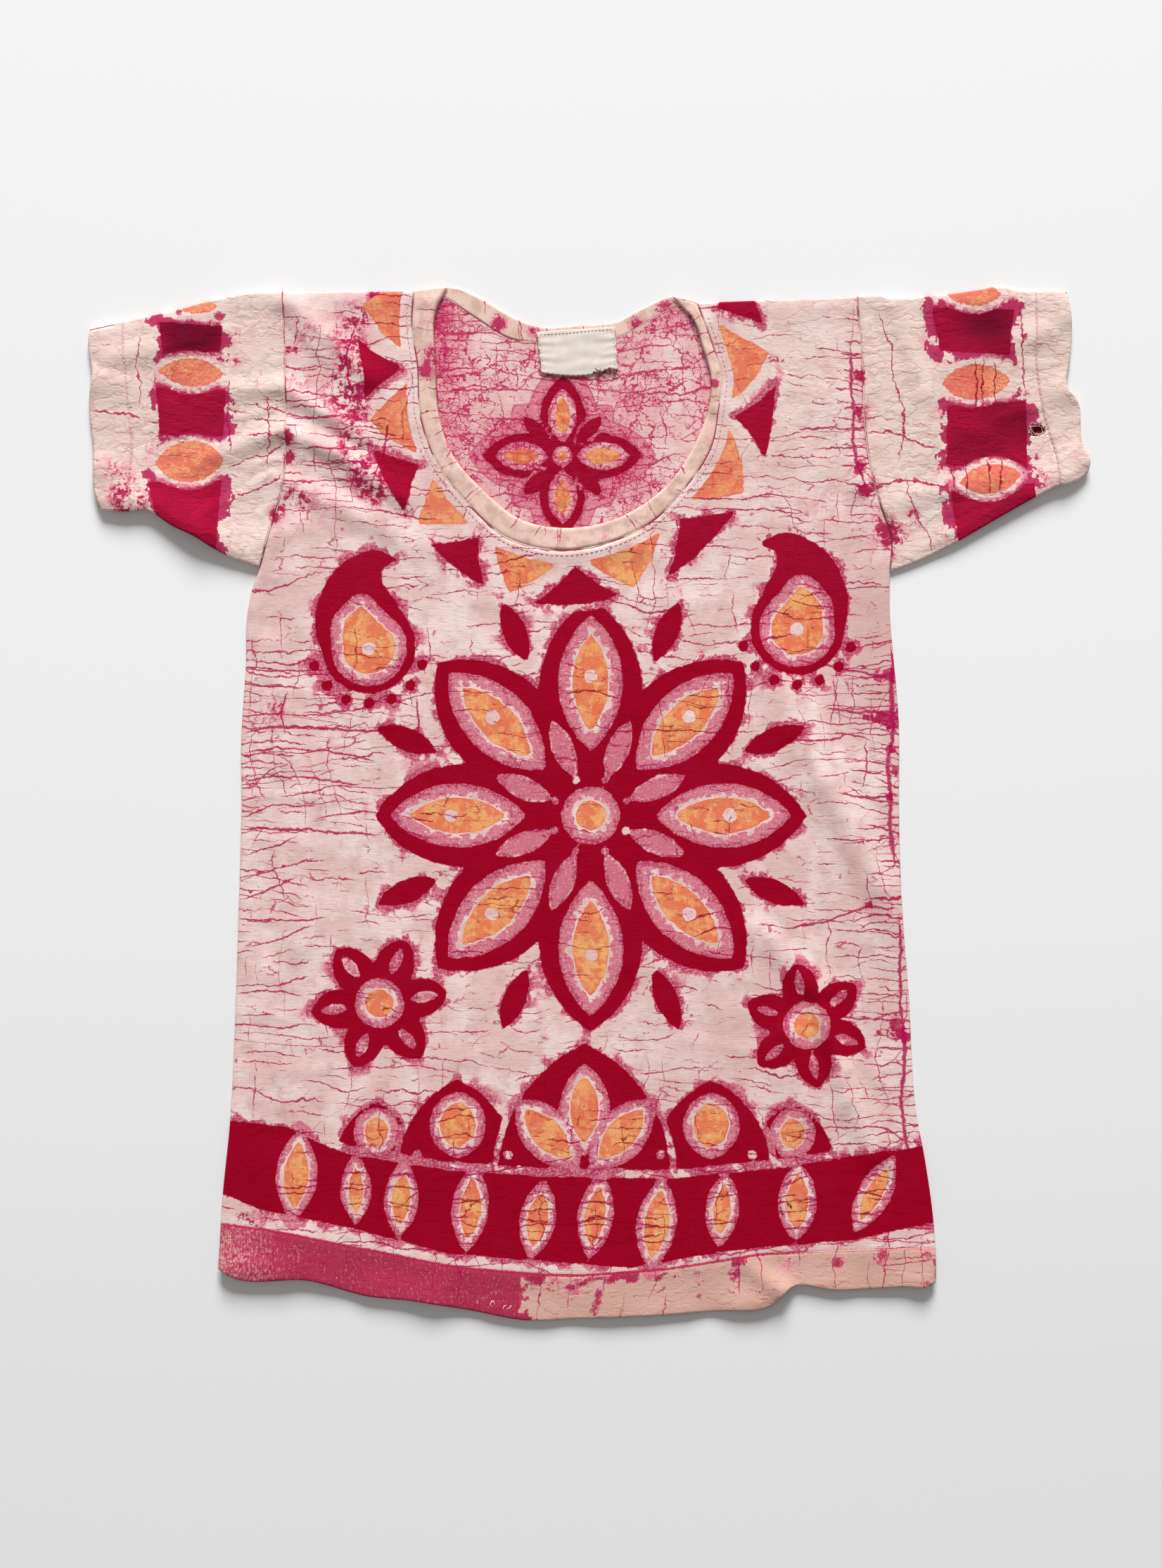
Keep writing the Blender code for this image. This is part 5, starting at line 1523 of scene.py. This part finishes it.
def addCloth(name, points, finish, fields, node, slot, layers=None, wall=cloth["wall"], **shape):
    # a piece of cloth with its finish, riding on the shirt's body in its node's place
    piece = clothMesh(name, points, fields, wall, layers, **shape)
    for material in finish:
        piece.data.materials.append(material)
    if len(finish) > 1:
        piece.modifiers["wall"].material_offset = 1
    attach(piece, "root")
    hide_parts(node)
    return piece


def addThreads(name, spines, radii, dyed, sides=5, slot="batik_cotton"):
    # threads riding on the shirt's body: each is cream at 0, crimson at 1 and nearly black at 2
    piece = threadMesh(name, spines, radii, sides, dyed)
    piece.data.materials.append(threadFinish)
    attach(piece, "root")


# What the pattern of a cotton piece reads where nothing has been done to it
plainFields = dict.fromkeys(("seamDye", "straw", "waxed", "granular", "coral", "dustAndShade", "plum"), 0.0)


def hemDyeAt(x, signed):
    # the turned-up hem is pink to the left of its patch, and cream after it
    ragged = 9 * softNoise(x, signed, 4, 41) + 6 * softNoise(x, signed, 1.9, 43)
    top = 1.3 * smooth(3.5 + 5 * softNoise(x, 0 * x, 7, 44) - signed, -1, 1)
    top = top * smooth(softNoise(x, signed, 12, 45), 0.35, 0.55)
    full = np.fmax(smooth(ragged - 50 - x, -1.5, 1.5), top * smooth(120 - x, 0, 40))
    return full * smooth(signed, -1.0, 0.6) * (3.0 - 1.75 * smooth(-x, 170, 235))


print("front")
grid, drop, hemStitch, hemEdge, neckSeam = frontPanel()
x, y = grid[..., 0], grid[..., 1]
hemWork, hemSigned = stitchedEdge(hemStitch, x, y, 31)
hemAway = nearestOn(hemEdge, x, y)[0]
bindingAway, bindingAlong, _ = nearestOn(neckSeam, x, y)
armholes = {name: curveAt(outline["armhole" + name], np.linspace(0, 1, 60)) for name in ("Left", "Right")}
armholeAway = np.fmin(*(nearestOn(path, x, y)[0] for path in armholes.values()))
neckPull = 0.25 * (softNoise(bindingAlong, bindingAway * 0.1, 5.0, 33) - 0.3)
neckPull = neckPull * np.exp(-((bindingAway / 8) ** 2))
frontPoints = upperPoints(grid, drop, hemWork - edgeRound(hemAway) + neckPull)
frontDye = Dye(x, y)
layMedallion(frontDye)
for drawn in drops:
    layDrop(frontDye, **drawn)
for drawn in blossoms:
    layBlossom(frontDye, **drawn)
layArches(frontDye)
layHemBorder(frontDye)
layNeckBorder(frontDye, neckSeam)
hemPart = smooth(hemSigned, -1, 1)
shoulderPink = 1 + 0.5 * smooth(-x, 104, 130) * smooth(y, 176, 196)
# the parts down both sides and along the right armhole, where the cloth has been crushed
edgePart = smooth(x, 176, 192) * smooth(y, 112, 96)
edgePart = edgePart + 0.7 * smooth(-x, 200, 214) * smooth(y, 112, 96) * smooth(y, -60, -20)
edgePart = edgePart + 0.7 * smooth(np.abs(x - 172), 12, 6) * smooth(y, 160, 190)
moreCracks = {
    "down": (1.5 * smooth(x, 196, 206) + 0.45) * hemPart + 0.6 * edgePart,
    "long": -1.2 * hemPart + 0.5 * edgePart, "short": -1.2 * hemPart + 1.5 * edgePart,
    "slant": -1.0 * hemPart + 0.9 * edgePart,
}
knotDye = (0.86 + 0.9 * smooth(x, 150, 170) * smooth(y, -200, -170)) * spots(x, y, knots)
front = addCloth(
    "front_cloth", frontPoints, [frontFinish], {
        **plainFields, "red": frontDye.red, "orange": frontDye.orange, "granular": frontDye.stain,
        "stitch": hemSigned, "stitchDye": smooth(x, 150, 128) * 0.45 + 0.5,
        "seam": armholeAway, "seamDye": 0.3, "turned": smooth(hemSigned, -0.5, 0.5),
        "straw": 0.5 * smooth(y, 150, 250) * smooth(x, 60, 120),
        "dye": shoulderPink * spots(x, y, pinked) + 0.3 * np.exp(-((armholeAway / 7) ** 2)),
        "turnedPink": np.fmax(hemDyeAt(x, hemSigned), knotDye), "dustAndShade": spots(x, y, shadedPatches),
        "coral": 0.5 * smooth(y, 140, 180), "rosy": 0.12 + 0.45 * smooth(y, 60, 220),
        "waxed": smooth(bindingAway, 46, 40), "hair": 0.8,
        **crackFields(x, y, 100, acrossCracks, downCracks, 0.0, moreCracks),
    },
    "front", "batik_cotton", cloth["plainShare"] + (1 - cloth["plainShare"]) * doubled(hemSigned),
)
print("front", len(front.data.polygons) * 2, "triangles before its wall")

print("back")
grid, drop = backPanel()
x, y = grid[..., 0], grid[..., 1]
backPoints = lowerPoints(grid, drop)
backSigned = stitchedEdge(hemStitch, x, y, 32)[1]
backDye = Dye(x, y)
layRosette(backDye)
layHemBorder(backDye)
# painted shade: the inside turns deeper pink in a strip left of the neck, where the raised front neck shades
# it; the wax cracks more there too
neckShadeStrip = np.exp(-(((x + 92) / 16) ** 2)) * (y > 180)
insidePink = 0.58 + 0.36 * neckShadeStrip + 0.6 * (softNoise(x, y, 26, 51) - 0.5)
insidePink = insidePink + 0.3 * (softNoise(x, y, 9, 52) - 0.5)
back = addCloth(
    "back_cloth", backPoints, [insideFinish, backFinish], {
        **plainFields, "red": backDye.red, "orange": backDye.orange, "stitch": backSigned, "stitchDye": 0.8,
        "seam": 30.0, "turned": smooth(backSigned, -0.5, 0.5), "dye": insidePink * smooth(y, 130, 150),
        "turnedPink": hemDyeAt(-x, backSigned), "rosy": 0.6 * smooth(y, 100, 200), "hair": 0.6,
        **crackFields(x, y, 200, (), (), 0.5 + 0.4 * neckShadeStrip, {"slant": 0.5}),
    },
    "back", "batik_cotton_inside", cloth["plainShare"],
)


def sleeveFields(x, y, name, stitch, edge, seed):
    # what the pattern of a sleeve needs, and what its cuff adds to the height
    work, signed = stitchedEdge(stitch, x, y, seed)
    away = nearestOn(edge, x, y)[0]
    sewn = nearestOn(armholes[name], x, y)[0]
    dye = Dye(x, y)
    laySleeveBand(dye, sleeveBands[name])
    fields = {
        **plainFields, "red": dye.red, "orange": dye.orange, "stitch": signed, "stitchDye": 0.22,
        "seam": sewn, "seamDye": 0.3, "straw": 0.9, "turned": 0.08 * smooth(signed, -0.5, 0.5),
        "dye": spots(x, y, pinked) + 0.3 * np.exp(-((sewn / 6) ** 2)), "turnedPink": spots(x, y, knots),
        "waxed": 0.85, "coral": 0.85, "rosy": 0.85, "plum": spots(x, y, plumSpots), "hair": 0.3,
        **crackFields(x, y, seed, *sleeveCracks[name], -0.75),
    }
    layers = cloth["plainShare"] + (1 - cloth["plainShare"]) * doubled(signed)
    return work - edgeRound(away), fields, layers


def ringed(values):
    # a field of one layer carried on round the tube
    values = np.broadcast_to(values, x.shape)
    return np.concatenate([values, values[-2:0:-1]])


rip = {"centre": (286.0, 238.5), "size": (12.0, 8.6), "ragged": 0.22, "shadow": 9.0}


def openRip(grid):
    # the cells inside a ragged oval are left out, and those on its border are drawn onto it
    away = (grid - rip["centre"]) / (np.array(rip["size"]) / 2)
    angle = np.arctan2(away[..., 1], away[..., 0])
    outer = 1 + rip["ragged"] * (softNoise(angle * 9, 0 * angle, 4, 61) - 0.5)
    share = np.linalg.norm(away, axis=-1) / outer
    inside = share < 1
    moved = np.array(rip["centre"]) + (grid - rip["centre"]) / np.maximum(share, 0.2)[..., None]
    return np.where(inside[..., None], moved, grid), inside


print("sleeves")
grid, drop, cuffStitchLeft, cuffEdge = sleeveGrid("Left")
x, y = grid[..., 0], grid[..., 1]
work, fields, layers = sleeveFields(x, y, "Left", cuffStitchLeft[::-1], cuffEdge, 34)
upper, lower = upperPoints(grid, drop, work), lowerPoints(grid, drop)
upper[[0, -1], :, 2] = cloth["seamLevel"] + lifted(x, y)[[0, -1]]
sleeveLeft = addCloth(
    "sleeve_left_cloth", np.concatenate([upper, lower[-2:0:-1]]), [sleeveFinish],
    {key: ringed(values) for key, values in fields.items()}, "sleeve_left", "batik_cotton", ringed(layers),
    ring=True,
)
grid, drop, cuffStitchRight, cuffEdge = sleeveGrid("Right")
x, y = grid[..., 0], grid[..., 1]
work, fields, layers = sleeveFields(x, y, "Right", cuffStitchRight, cuffEdge, 35)
tornGrid, torn = openRip(grid)
sleeveRightFront = addCloth(
    "sleeve_right_front_cloth", upperPoints(tornGrid, drop, work), [sleeveFinish], fields,
    "sleeve_right_front", "batik_cotton", layers, cutAway=torn,
)
# painted shadow below the rip: crimson laid in a disc on the lower layer, so the hole reads dark
fields["red"] = np.fmax(fields["red"], discField(x, y, rip["centre"], rip["shadow"]))
sleeveRightBack = addCloth(
    "sleeve_right_back_cloth", lowerPoints(grid, drop), [sleeveFinish], fields,
    "sleeve_right_back", "batik_cotton", layers,
)


bandCrackSets = {
    "long": {"turn": 0.0, "spacing": 17.0, "reach": 22.0, "sway": 12.0, "width": 0.5, "cover": 0.46},
    "short": {"turn": 0.0, "spacing": 13.0, "reach": 22.0, "sway": 12.0, "width": 0.36, "cover": 0.46},
}


def bandCracks(away, along, seed):
    # cracks across a band
    fields = {}
    for index, (name, row) in enumerate(bandCrackSets.items()):
        off, width = rowsOfCracks(away, along, **row, crushed=0.0, seed=seed + 10 * index)
        fields[name], fields[name + "Width"] = off, width
    return fields


print("neck")
grid = neckStrip(neckFront, cells["bandAlong"], cells["bandAcross"])
drop = np.zeros(grid.shape[:2] + (1,))
drop[:, -1] = 1
drop[[0, -1]] = 1
grid, drop = withRoll(grid, drop, 1, True)
x, y = grid[..., 0], grid[..., 1]
freeEdge = curveAt(neckFront, np.linspace(0, 1, 200))[:, 2:]
seamAway, seamAlong, _ = nearestOn(neckSeam, x, y)
freeAway = nearestOn(freeEdge, x, y)[0]
bandWork = cloth["bandRise"] - edgeRound(freeAway, 1.6, 0.5) - edgeRound(seamAway, 2.6, 0.3)
bandWork = bandWork + 0.55 * (softNoise(seamAlong, seamAway * 0.15, 6.5, 36) - 0.4) * smooth(seamAway, 0, 4)
bandWork = bandWork + 0.22 * (softNoise(seamAlong + seamAway, seamAway * 0.15, 3.1, 39) - 0.5)
bandDye = 0.1 + 0.35 * softNoise(x, y, 16, 37) + spots(x, y, bandStains)
bandFront = addCloth(
    "neck_binding_front_cloth", upperPoints(grid, drop[..., 0], bandWork), [bindingFinish],
    {"dye": bandDye, "seam": seamAway + 0.3, **bandCracks(seamAway, seamAlong, 300)},
    "neck_binding_front", "neck_binding",
)
grid = neckStrip(neckBack, cells["backBandAlong"], cells["bandAcross"])
x, y = grid[..., 0], grid[..., 1]
backSeam = curveAt(neckBack, np.linspace(0, 1, 160))
seamAway = nearestOn(backSeam[:, :2], x, y)[0]
freeAway = nearestOn(backSeam[:, 2:], x, y)[0]
points = lowerPoints(grid, np.zeros(x.shape))
points[..., 2] -= np.fmin(edgeRound(seamAway, 1.0, 0.25), 0.25)
bandDye = 0.15 + 0.4 * softNoise(x, y, 14, 38) + spots(x, y, bandStains)
bandBack = addCloth(
    "neck_binding_back_cloth", points, [bindingFinish],
    {"dye": bandDye, "seam": np.fmin(seamAway, freeAway + 0.4), **bandCracks(seamAway, x, 340)},
    "neck_binding_back", "neck_binding",
)

print("label")
label = {
    "corners": ((-33.5, 301.0), (16.5, 304.6), (18.2, 277.4), (-30.4, 275.0)), "sag": 3.0, "wall": 0.5,
    "width": 50.0, "height": 27.0, "level": cloth["upper"], "pucker": 0.17, "puckers": 3.1, "teeth": 15,
    "tooth": 0.22, "tornFrom": (0.62, 0.72), "tornTo": (0.98, 0.9), "sidePull": 0.35, "sidePulls": 3.5,
}
upperLeft, upperRight, lowerRight, lowerLeft = (np.array(corner) for corner in label["corners"])
columns, rows = cells["label"]
grid = patch(
    evenly(lowerLeft, lowerRight, columns), evenly(upperLeft, upperRight, columns),
    evenly(lowerLeft, upperLeft, rows), evenly(lowerRight, upperRight, rows),
)
across, up = evenly(0, 1, columns)[None, :], evenly(0, 1, rows)[:, None]
grid[..., 1] -= label["sag"] * np.sin(np.pi * across) * (1 - up)
grid[..., 1] += label["tooth"] * (1 - up) ** 3 * np.sin(2 * np.pi * label["teeth"] * across)
torn = smooth(across, *label["tornFrom"]) * smooth(across, *label["tornTo"]) * (1 - up) ** 8
grid[..., 1] += torn * (0.6 + 1.5 * softNoise(across * 50, 0 * up + 3.0, 1.6, 73))
sidePull = label["sidePull"] * np.sin(2 * np.pi * label["sidePulls"] * up) * (np.abs(2 * across - 1) ** 4)
grid[..., 0] += sidePull * np.sign(across - 0.5)
bend = up + 0.05 * np.sin(2.2 * np.pi * across + 0.6) + 0.012 * np.sin(9 * across)
fade = 0.25 + 0.75 * softNoise(grid[..., 0] / 2.2, grid[..., 1], 7.5, 72)
lift = label["pucker"] * (1 - np.cos(2 * np.pi * label["puckers"] * bend)) * fade
lift = lift + 0.34 * (np.abs(2 * across - 1) ** 2.5) * (1 + np.sin(2 * np.pi * 5.5 * up + 1.0)) / 2
lift = lift + 0.16 * softNoise(grid[..., 0] / 2.5, grid[..., 1], 4.5, 71)
labelPoints = np.concatenate([grid, (label["level"] + lift)[..., None]], axis=-1)
edgeAway = np.fmin(np.fmin(across, 1 - across) * label["width"], np.fmin(up, 1 - up) * label["height"])
labelPiece = addCloth(
    "label_cloth", labelPoints, [labelFinish], {"edge": edgeAway}, "label", "plain_label",
    wall=label["wall"],
)

# Steps between stitches, their length and thickness, and how high they arch
hemStitches = {"step": 3.2, "length": 2.2, "radius": 0.2, "rise": 0.16}
seamStitches = {"step": 1.5, "length": 2.6, "radius": 0.36, "rise": 0.04}
labelStitches = {"step": 2.3, "length": 1.6, "radius": 0.2, "rise": 0.16}


def stitchRow(path, level, dyed, seed, step, length, radius, rise):
    # stitches along a path: each is a short arch, its ends sunk in the cloth
    fine = curveAt(path, np.linspace(0, 1, 400))
    steps = np.linalg.norm(np.diff(fine, axis=0), axis=1)
    total = np.concatenate([[0.0], np.cumsum(steps)])
    count = int(total[-1] / step)
    chance = np.random.default_rng(seed)
    middle = (np.arange(count) + 0.5) * total[-1] / count + chance.uniform(-0.15, 0.15, count)
    share = np.linspace(-0.5, 0.5, 7)
    along = middle[:, None] + share[None, :] * length * chance.uniform(0.85, 1.1, count)[:, None]
    x, y = np.interp(along, total, fine[:, 0]), np.interp(along, total, fine[:, 1])
    tilt = chance.uniform(-0.18, 0.18, count)[:, None] * share
    slope = np.gradient(np.stack([x, y], axis=-1), axis=1)
    slope /= np.linalg.norm(slope, axis=-1, keepdims=True)
    x, y = x + slope[..., 1] * tilt, y - slope[..., 0] * tilt
    arch = rise * (1 - (2 * share) ** 2) * 2 - 0.1
    z = level(x, y) + arch[None, :]
    thin = np.sqrt(np.clip(1 - (2 * share) ** 6, 0.1, 1))
    radii = np.broadcast_to(radius * thin, x.shape)
    return np.stack([x, y, z], axis=-1), radii, dyed(x[:, 3], y[:, 3])


def surface(x, y):
    # top of the front's single layer
    return upperHeight(x, y) + lifted(x, y) + cloth["wall"] * cloth["plainShare"] / 2


def raised(extra):
    # the same height, moved up or down by a fixed step
    return lambda x, y: surface(x, y) + extra


def even(value):
    # one height or shade everywhere
    return lambda x, y: 0 * x + value


def seamShade(x, y):
    # the dye took the thread of a seam here and there
    return smooth(softNoise(x, y, 9, 88) + spots(x, y, pinked) * 0.4, 0.45, 0.75)


print("stitches")
joinFront = curveAt(neckFront, np.linspace(0.01, 0.99, 120))[:, :2]
joinBack = curveAt(neckBack, np.linspace(0.02, 0.98, 80))[:, :2]
# each row's path, its height, how dyed it is, and its kind of stitch
stitchRows = {
    "hem_stitches": (hemStitch[3:-3:6], surface, lambda x, y: smooth(x, 150, 128), hemStitches),
    "cuff_stitches_left": (cuffStitchLeft[3:-3:6], surface, even(0), hemStitches),
    "cuff_stitches_right": (cuffStitchRight[3:-3:6], surface, even(0), hemStitches),
    "neck_stitches": (setOff(neckSeam, 3.0)[3:-3:5], raised(0.05), even(0.55), hemStitches),
    "armhole_seam_left": (armholes["Left"][2:], raised(-0.30), seamShade, seamStitches),
    "armhole_seam_right": (armholes["Right"][2:], raised(-0.30), seamShade, seamStitches),
    "neck_seam": (joinFront, raised(-0.02), seamShade, seamStitches),
    "neck_seam_back": (joinBack, even(cloth["lower"] + 0.18), seamShade, seamStitches),
}
for seed, (name, (path, level, dyed, kind)) in enumerate(stitchRows.items(), 81):
    addThreads(name, *stitchRow(path, level, dyed, seed, **kind), sides=6)

# loose stitches at the hem: x, y, turn and bow of each
hooks = np.array((
    (-62.5, -321.5, 75, 0.9), (-60.5, -320.5, 130, -0.8), (-55, -323.5, 55, 0.7), (-52.5, -323, 40, -0.6),
))
hookLength = 3.4
along = np.linspace(0, 1, 9)[None, :]
hookTurn, hookBow = np.radians(hooks[:, 2:3]), hooks[:, 3:] * np.sin(np.pi * along)
hookX = hooks[:, :1] + hookLength * along * np.cos(hookTurn) - hookBow * np.sin(hookTurn)
hookY = hooks[:, 1:2] + hookLength * along * np.sin(hookTurn) + hookBow * np.cos(hookTurn)
hookZ = raised(0.35)(hookX, hookY) + 0.5 * np.sin(np.pi * along)
spines = np.stack([hookX, hookY, hookZ], axis=-1)
addThreads("hem_loose_stitches", spines, np.full(hookX.shape, 0.3), np.zeros(len(hooks)))

# tangled ends that stick to the cloth
burrs = np.array(((127.6, -256.5), (123.5, -262.4), (129, -258), (122.4, -260.6), (131, -301)))
burrDyes = (1.9, 1.9, 1.8, 1.9, 0.0)
turns = np.linspace(0, 2.2 * np.pi, 16)[None, :]
loops = np.random.default_rng(98).uniform(0.5, 1.1, (len(burrs), 2))
burrX = burrs[:, :1] + loops[:, :1] * np.cos(turns + burrs[:, :1]) * (1 - 0.05 * turns)
burrY = burrs[:, 1:] + loops[:, 1:] * np.sin(turns * 1.3 + burrs[:, 1:])
burrZ = surface(burrX, burrY) + 0.1 + 0.3 * np.sin(turns * 2)
addThreads("burrs", np.stack([burrX, burrY, burrZ], axis=-1), np.full(burrX.shape, 0.24), burrDyes)

# the label's stitches run up its left side, along its top and down its right side
corners = np.array([lowerLeft, upperLeft, upperRight, lowerRight])
corners = corners + ((1.6, 1.8), (1.6, -1.6), (-1.6, -1.6), (-1.6, 1.8))
parts = [
    stitchRow((first, (first + last) / 2, last), even(label["level"] + 0.55), even(0), seed, **labelStitches)
    for seed, (first, last) in enumerate(zip(corners[:-1], corners[1:]), 90)
]
addThreads("label_stitches", *(np.concatenate(part) for part in zip(*parts)), sides=6, slot="plain_label")

# broken threads across the rip
chance = np.random.default_rng(95)
strands = 26
ripX, ripY = rip["centre"]
around = chance.uniform(0, 2 * np.pi, strands)
across = around + chance.choice([-1, 1], strands) * chance.uniform(0.8, 2.4, strands)
share = np.linspace(0, 1, 12)[None, :]
halfX, halfY = np.array(rip["size"]) / 2
reach = chance.uniform(0.45, 1.0, strands)[:, None]
startX, startY = ripX + halfX * np.cos(around), ripY + halfY * np.sin(around)
endX, endY = ripX + halfX * np.cos(across), ripY + halfY * np.sin(across)
strandX = startX[:, None] + (endX - startX)[:, None] * share * reach
strandY = startY[:, None] + (endY - startY)[:, None] * share * reach
curl = chance.uniform(-1.8, 1.8, (2, strands))[:, :, None] * np.sin(np.pi * share)[None] ** 1.5
strandX, strandY = strandX + curl[0], strandY + curl[1]
ripTop = surface(np.array([ripX]), np.array([ripY]))[0]
strandZ = ripTop - 0.15 + chance.uniform(-0.2, 0.5, strands)[:, None] * np.sin(np.pi * share)
radii = np.broadcast_to(0.24 * (1 - 0.5 * share), strandX.shape)
spines = np.stack([strandX, strandY, strandZ], axis=-1)
addThreads("rip_threads", spines, radii, chance.uniform(0, 1, strands) ** 2 * 1.4)

# and where the label has come away
looseThreads = 20
startX = chance.uniform(3.0, 17.0, looseThreads)
startY = 276.0 + chance.uniform(-1.0, 2.0, looseThreads)
headings = np.radians(chance.uniform(-140, -20, looseThreads))
length = chance.uniform(1.6, 5.0, looseThreads)
bow = chance.uniform(-1.8, 1.8, looseThreads)[:, None] * np.sin(np.pi * share)
threadX = startX[:, None] + np.cos(headings)[:, None] * length[:, None] * share + bow
threadY = startY[:, None] + np.sin(headings)[:, None] * length[:, None] * share
threadZ = label["level"] + 0.5 + 0.4 * np.sin(np.pi * share) - 1.0 * share + 0 * threadX
radii = np.broadcast_to(0.17 + 0 * share, threadX.shape)
spines = np.stack([threadX, threadY, threadZ], axis=-1)
dyed = chance.uniform(0, 1, looseThreads) ** 0.8 * 1.9
addThreads("label_threads", spines, radii, dyed, slot="plain_label")

print("stage")
# The floor, the camera and the sky in metres; the floor's painted shade runs along Y in millimetres
stage = {
    "floorSize": 8.0, "floorDrop": 0.0002, "floorColour": (0.852, 0.86, 0.866),
    "floorShadedFoot": (0.79, 0.797, 0.803), "shadeFrom": -400.0, "shadeTo": 50.0,
    "aim": (-0.0052, 0.01215), "frameHeight": 1.0035, "cameraHeight": 1.9, "sensor": 24.0,
    "skyColour": (1.0, 0.965, 0.93, 1), "sky": 0.232,
}
# A large window behind the shirt's top and a small fill above it, in metres and watts
lamps = {
    "window": {"place": (0.3, 10.8, 5.4), "size": 4.6, "power": 2330.0},
    "fill": {"place": (-0.3, -0.2, 2.3), "size": 1.8, "power": 4.2},
}
bpy.ops.mesh.primitive_plane_add(size=stage["floorSize"], location=(0, 0, -stage["floorDrop"]))
floor = bpy.context.object
floor.name = "floor"
floorPaint = Paint("pale_floor")
floorPlace = floorPaint.out(floorPaint.node("ShaderNodeSeparateXYZ", {}, {0: floorPaint.place()}), 1)
# painted shade: the floor darkens toward the bottom of the frame, standing in for the window's light falling
# off
floorShade = floorPaint.fade(floorPlace, stage["shadeFrom"], stage["shadeTo"])
floorColour = floorPaint.blend(floorShade, stage["floorColour"], stage["floorShadedFoot"])
floor.data.materials.append(floorPaint.finish(floorColour, 0.7))
floor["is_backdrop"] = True


def addLight(name, place, size, power):
    # a square lamp that faces the shirt
    light = bpy.data.lights.new(name, "AREA")
    light.size, light.energy = size, power
    lamp = linked(name, light)
    lamp.location = place
    lamp.rotation_euler = (-lamp.location).to_track_quat("-Z", "Y").to_euler()


for name, lamp in lamps.items():
    addLight(name, **lamp)
world = bpy.data.worlds.new("room")
bpy.context.scene.world = world
world.use_nodes = True
sky = world.node_tree.nodes["Background"].inputs
sky["Color"].default_value = stage["skyColour"]
sky["Strength"].default_value = stage["sky"]
bpy.context.scene.view_settings.view_transform = "Standard"

camera = bpy.data.cameras.new("camera")
camera.sensor_fit = "VERTICAL"
camera.sensor_height = stage["sensor"]
camera.lens = camera.sensor_height * stage["cameraHeight"] / stage["frameHeight"]
camera.clip_end = 20
eye = linked("camera", camera)
eye.location = (*stage["aim"], stage["cameraHeight"])
bpy.context.scene.camera = eye

newLow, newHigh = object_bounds()
rows = {"cad": [list(cadLow), list(cadHigh)], "visual": [list(newLow), list(newHigh)]}
print("done")
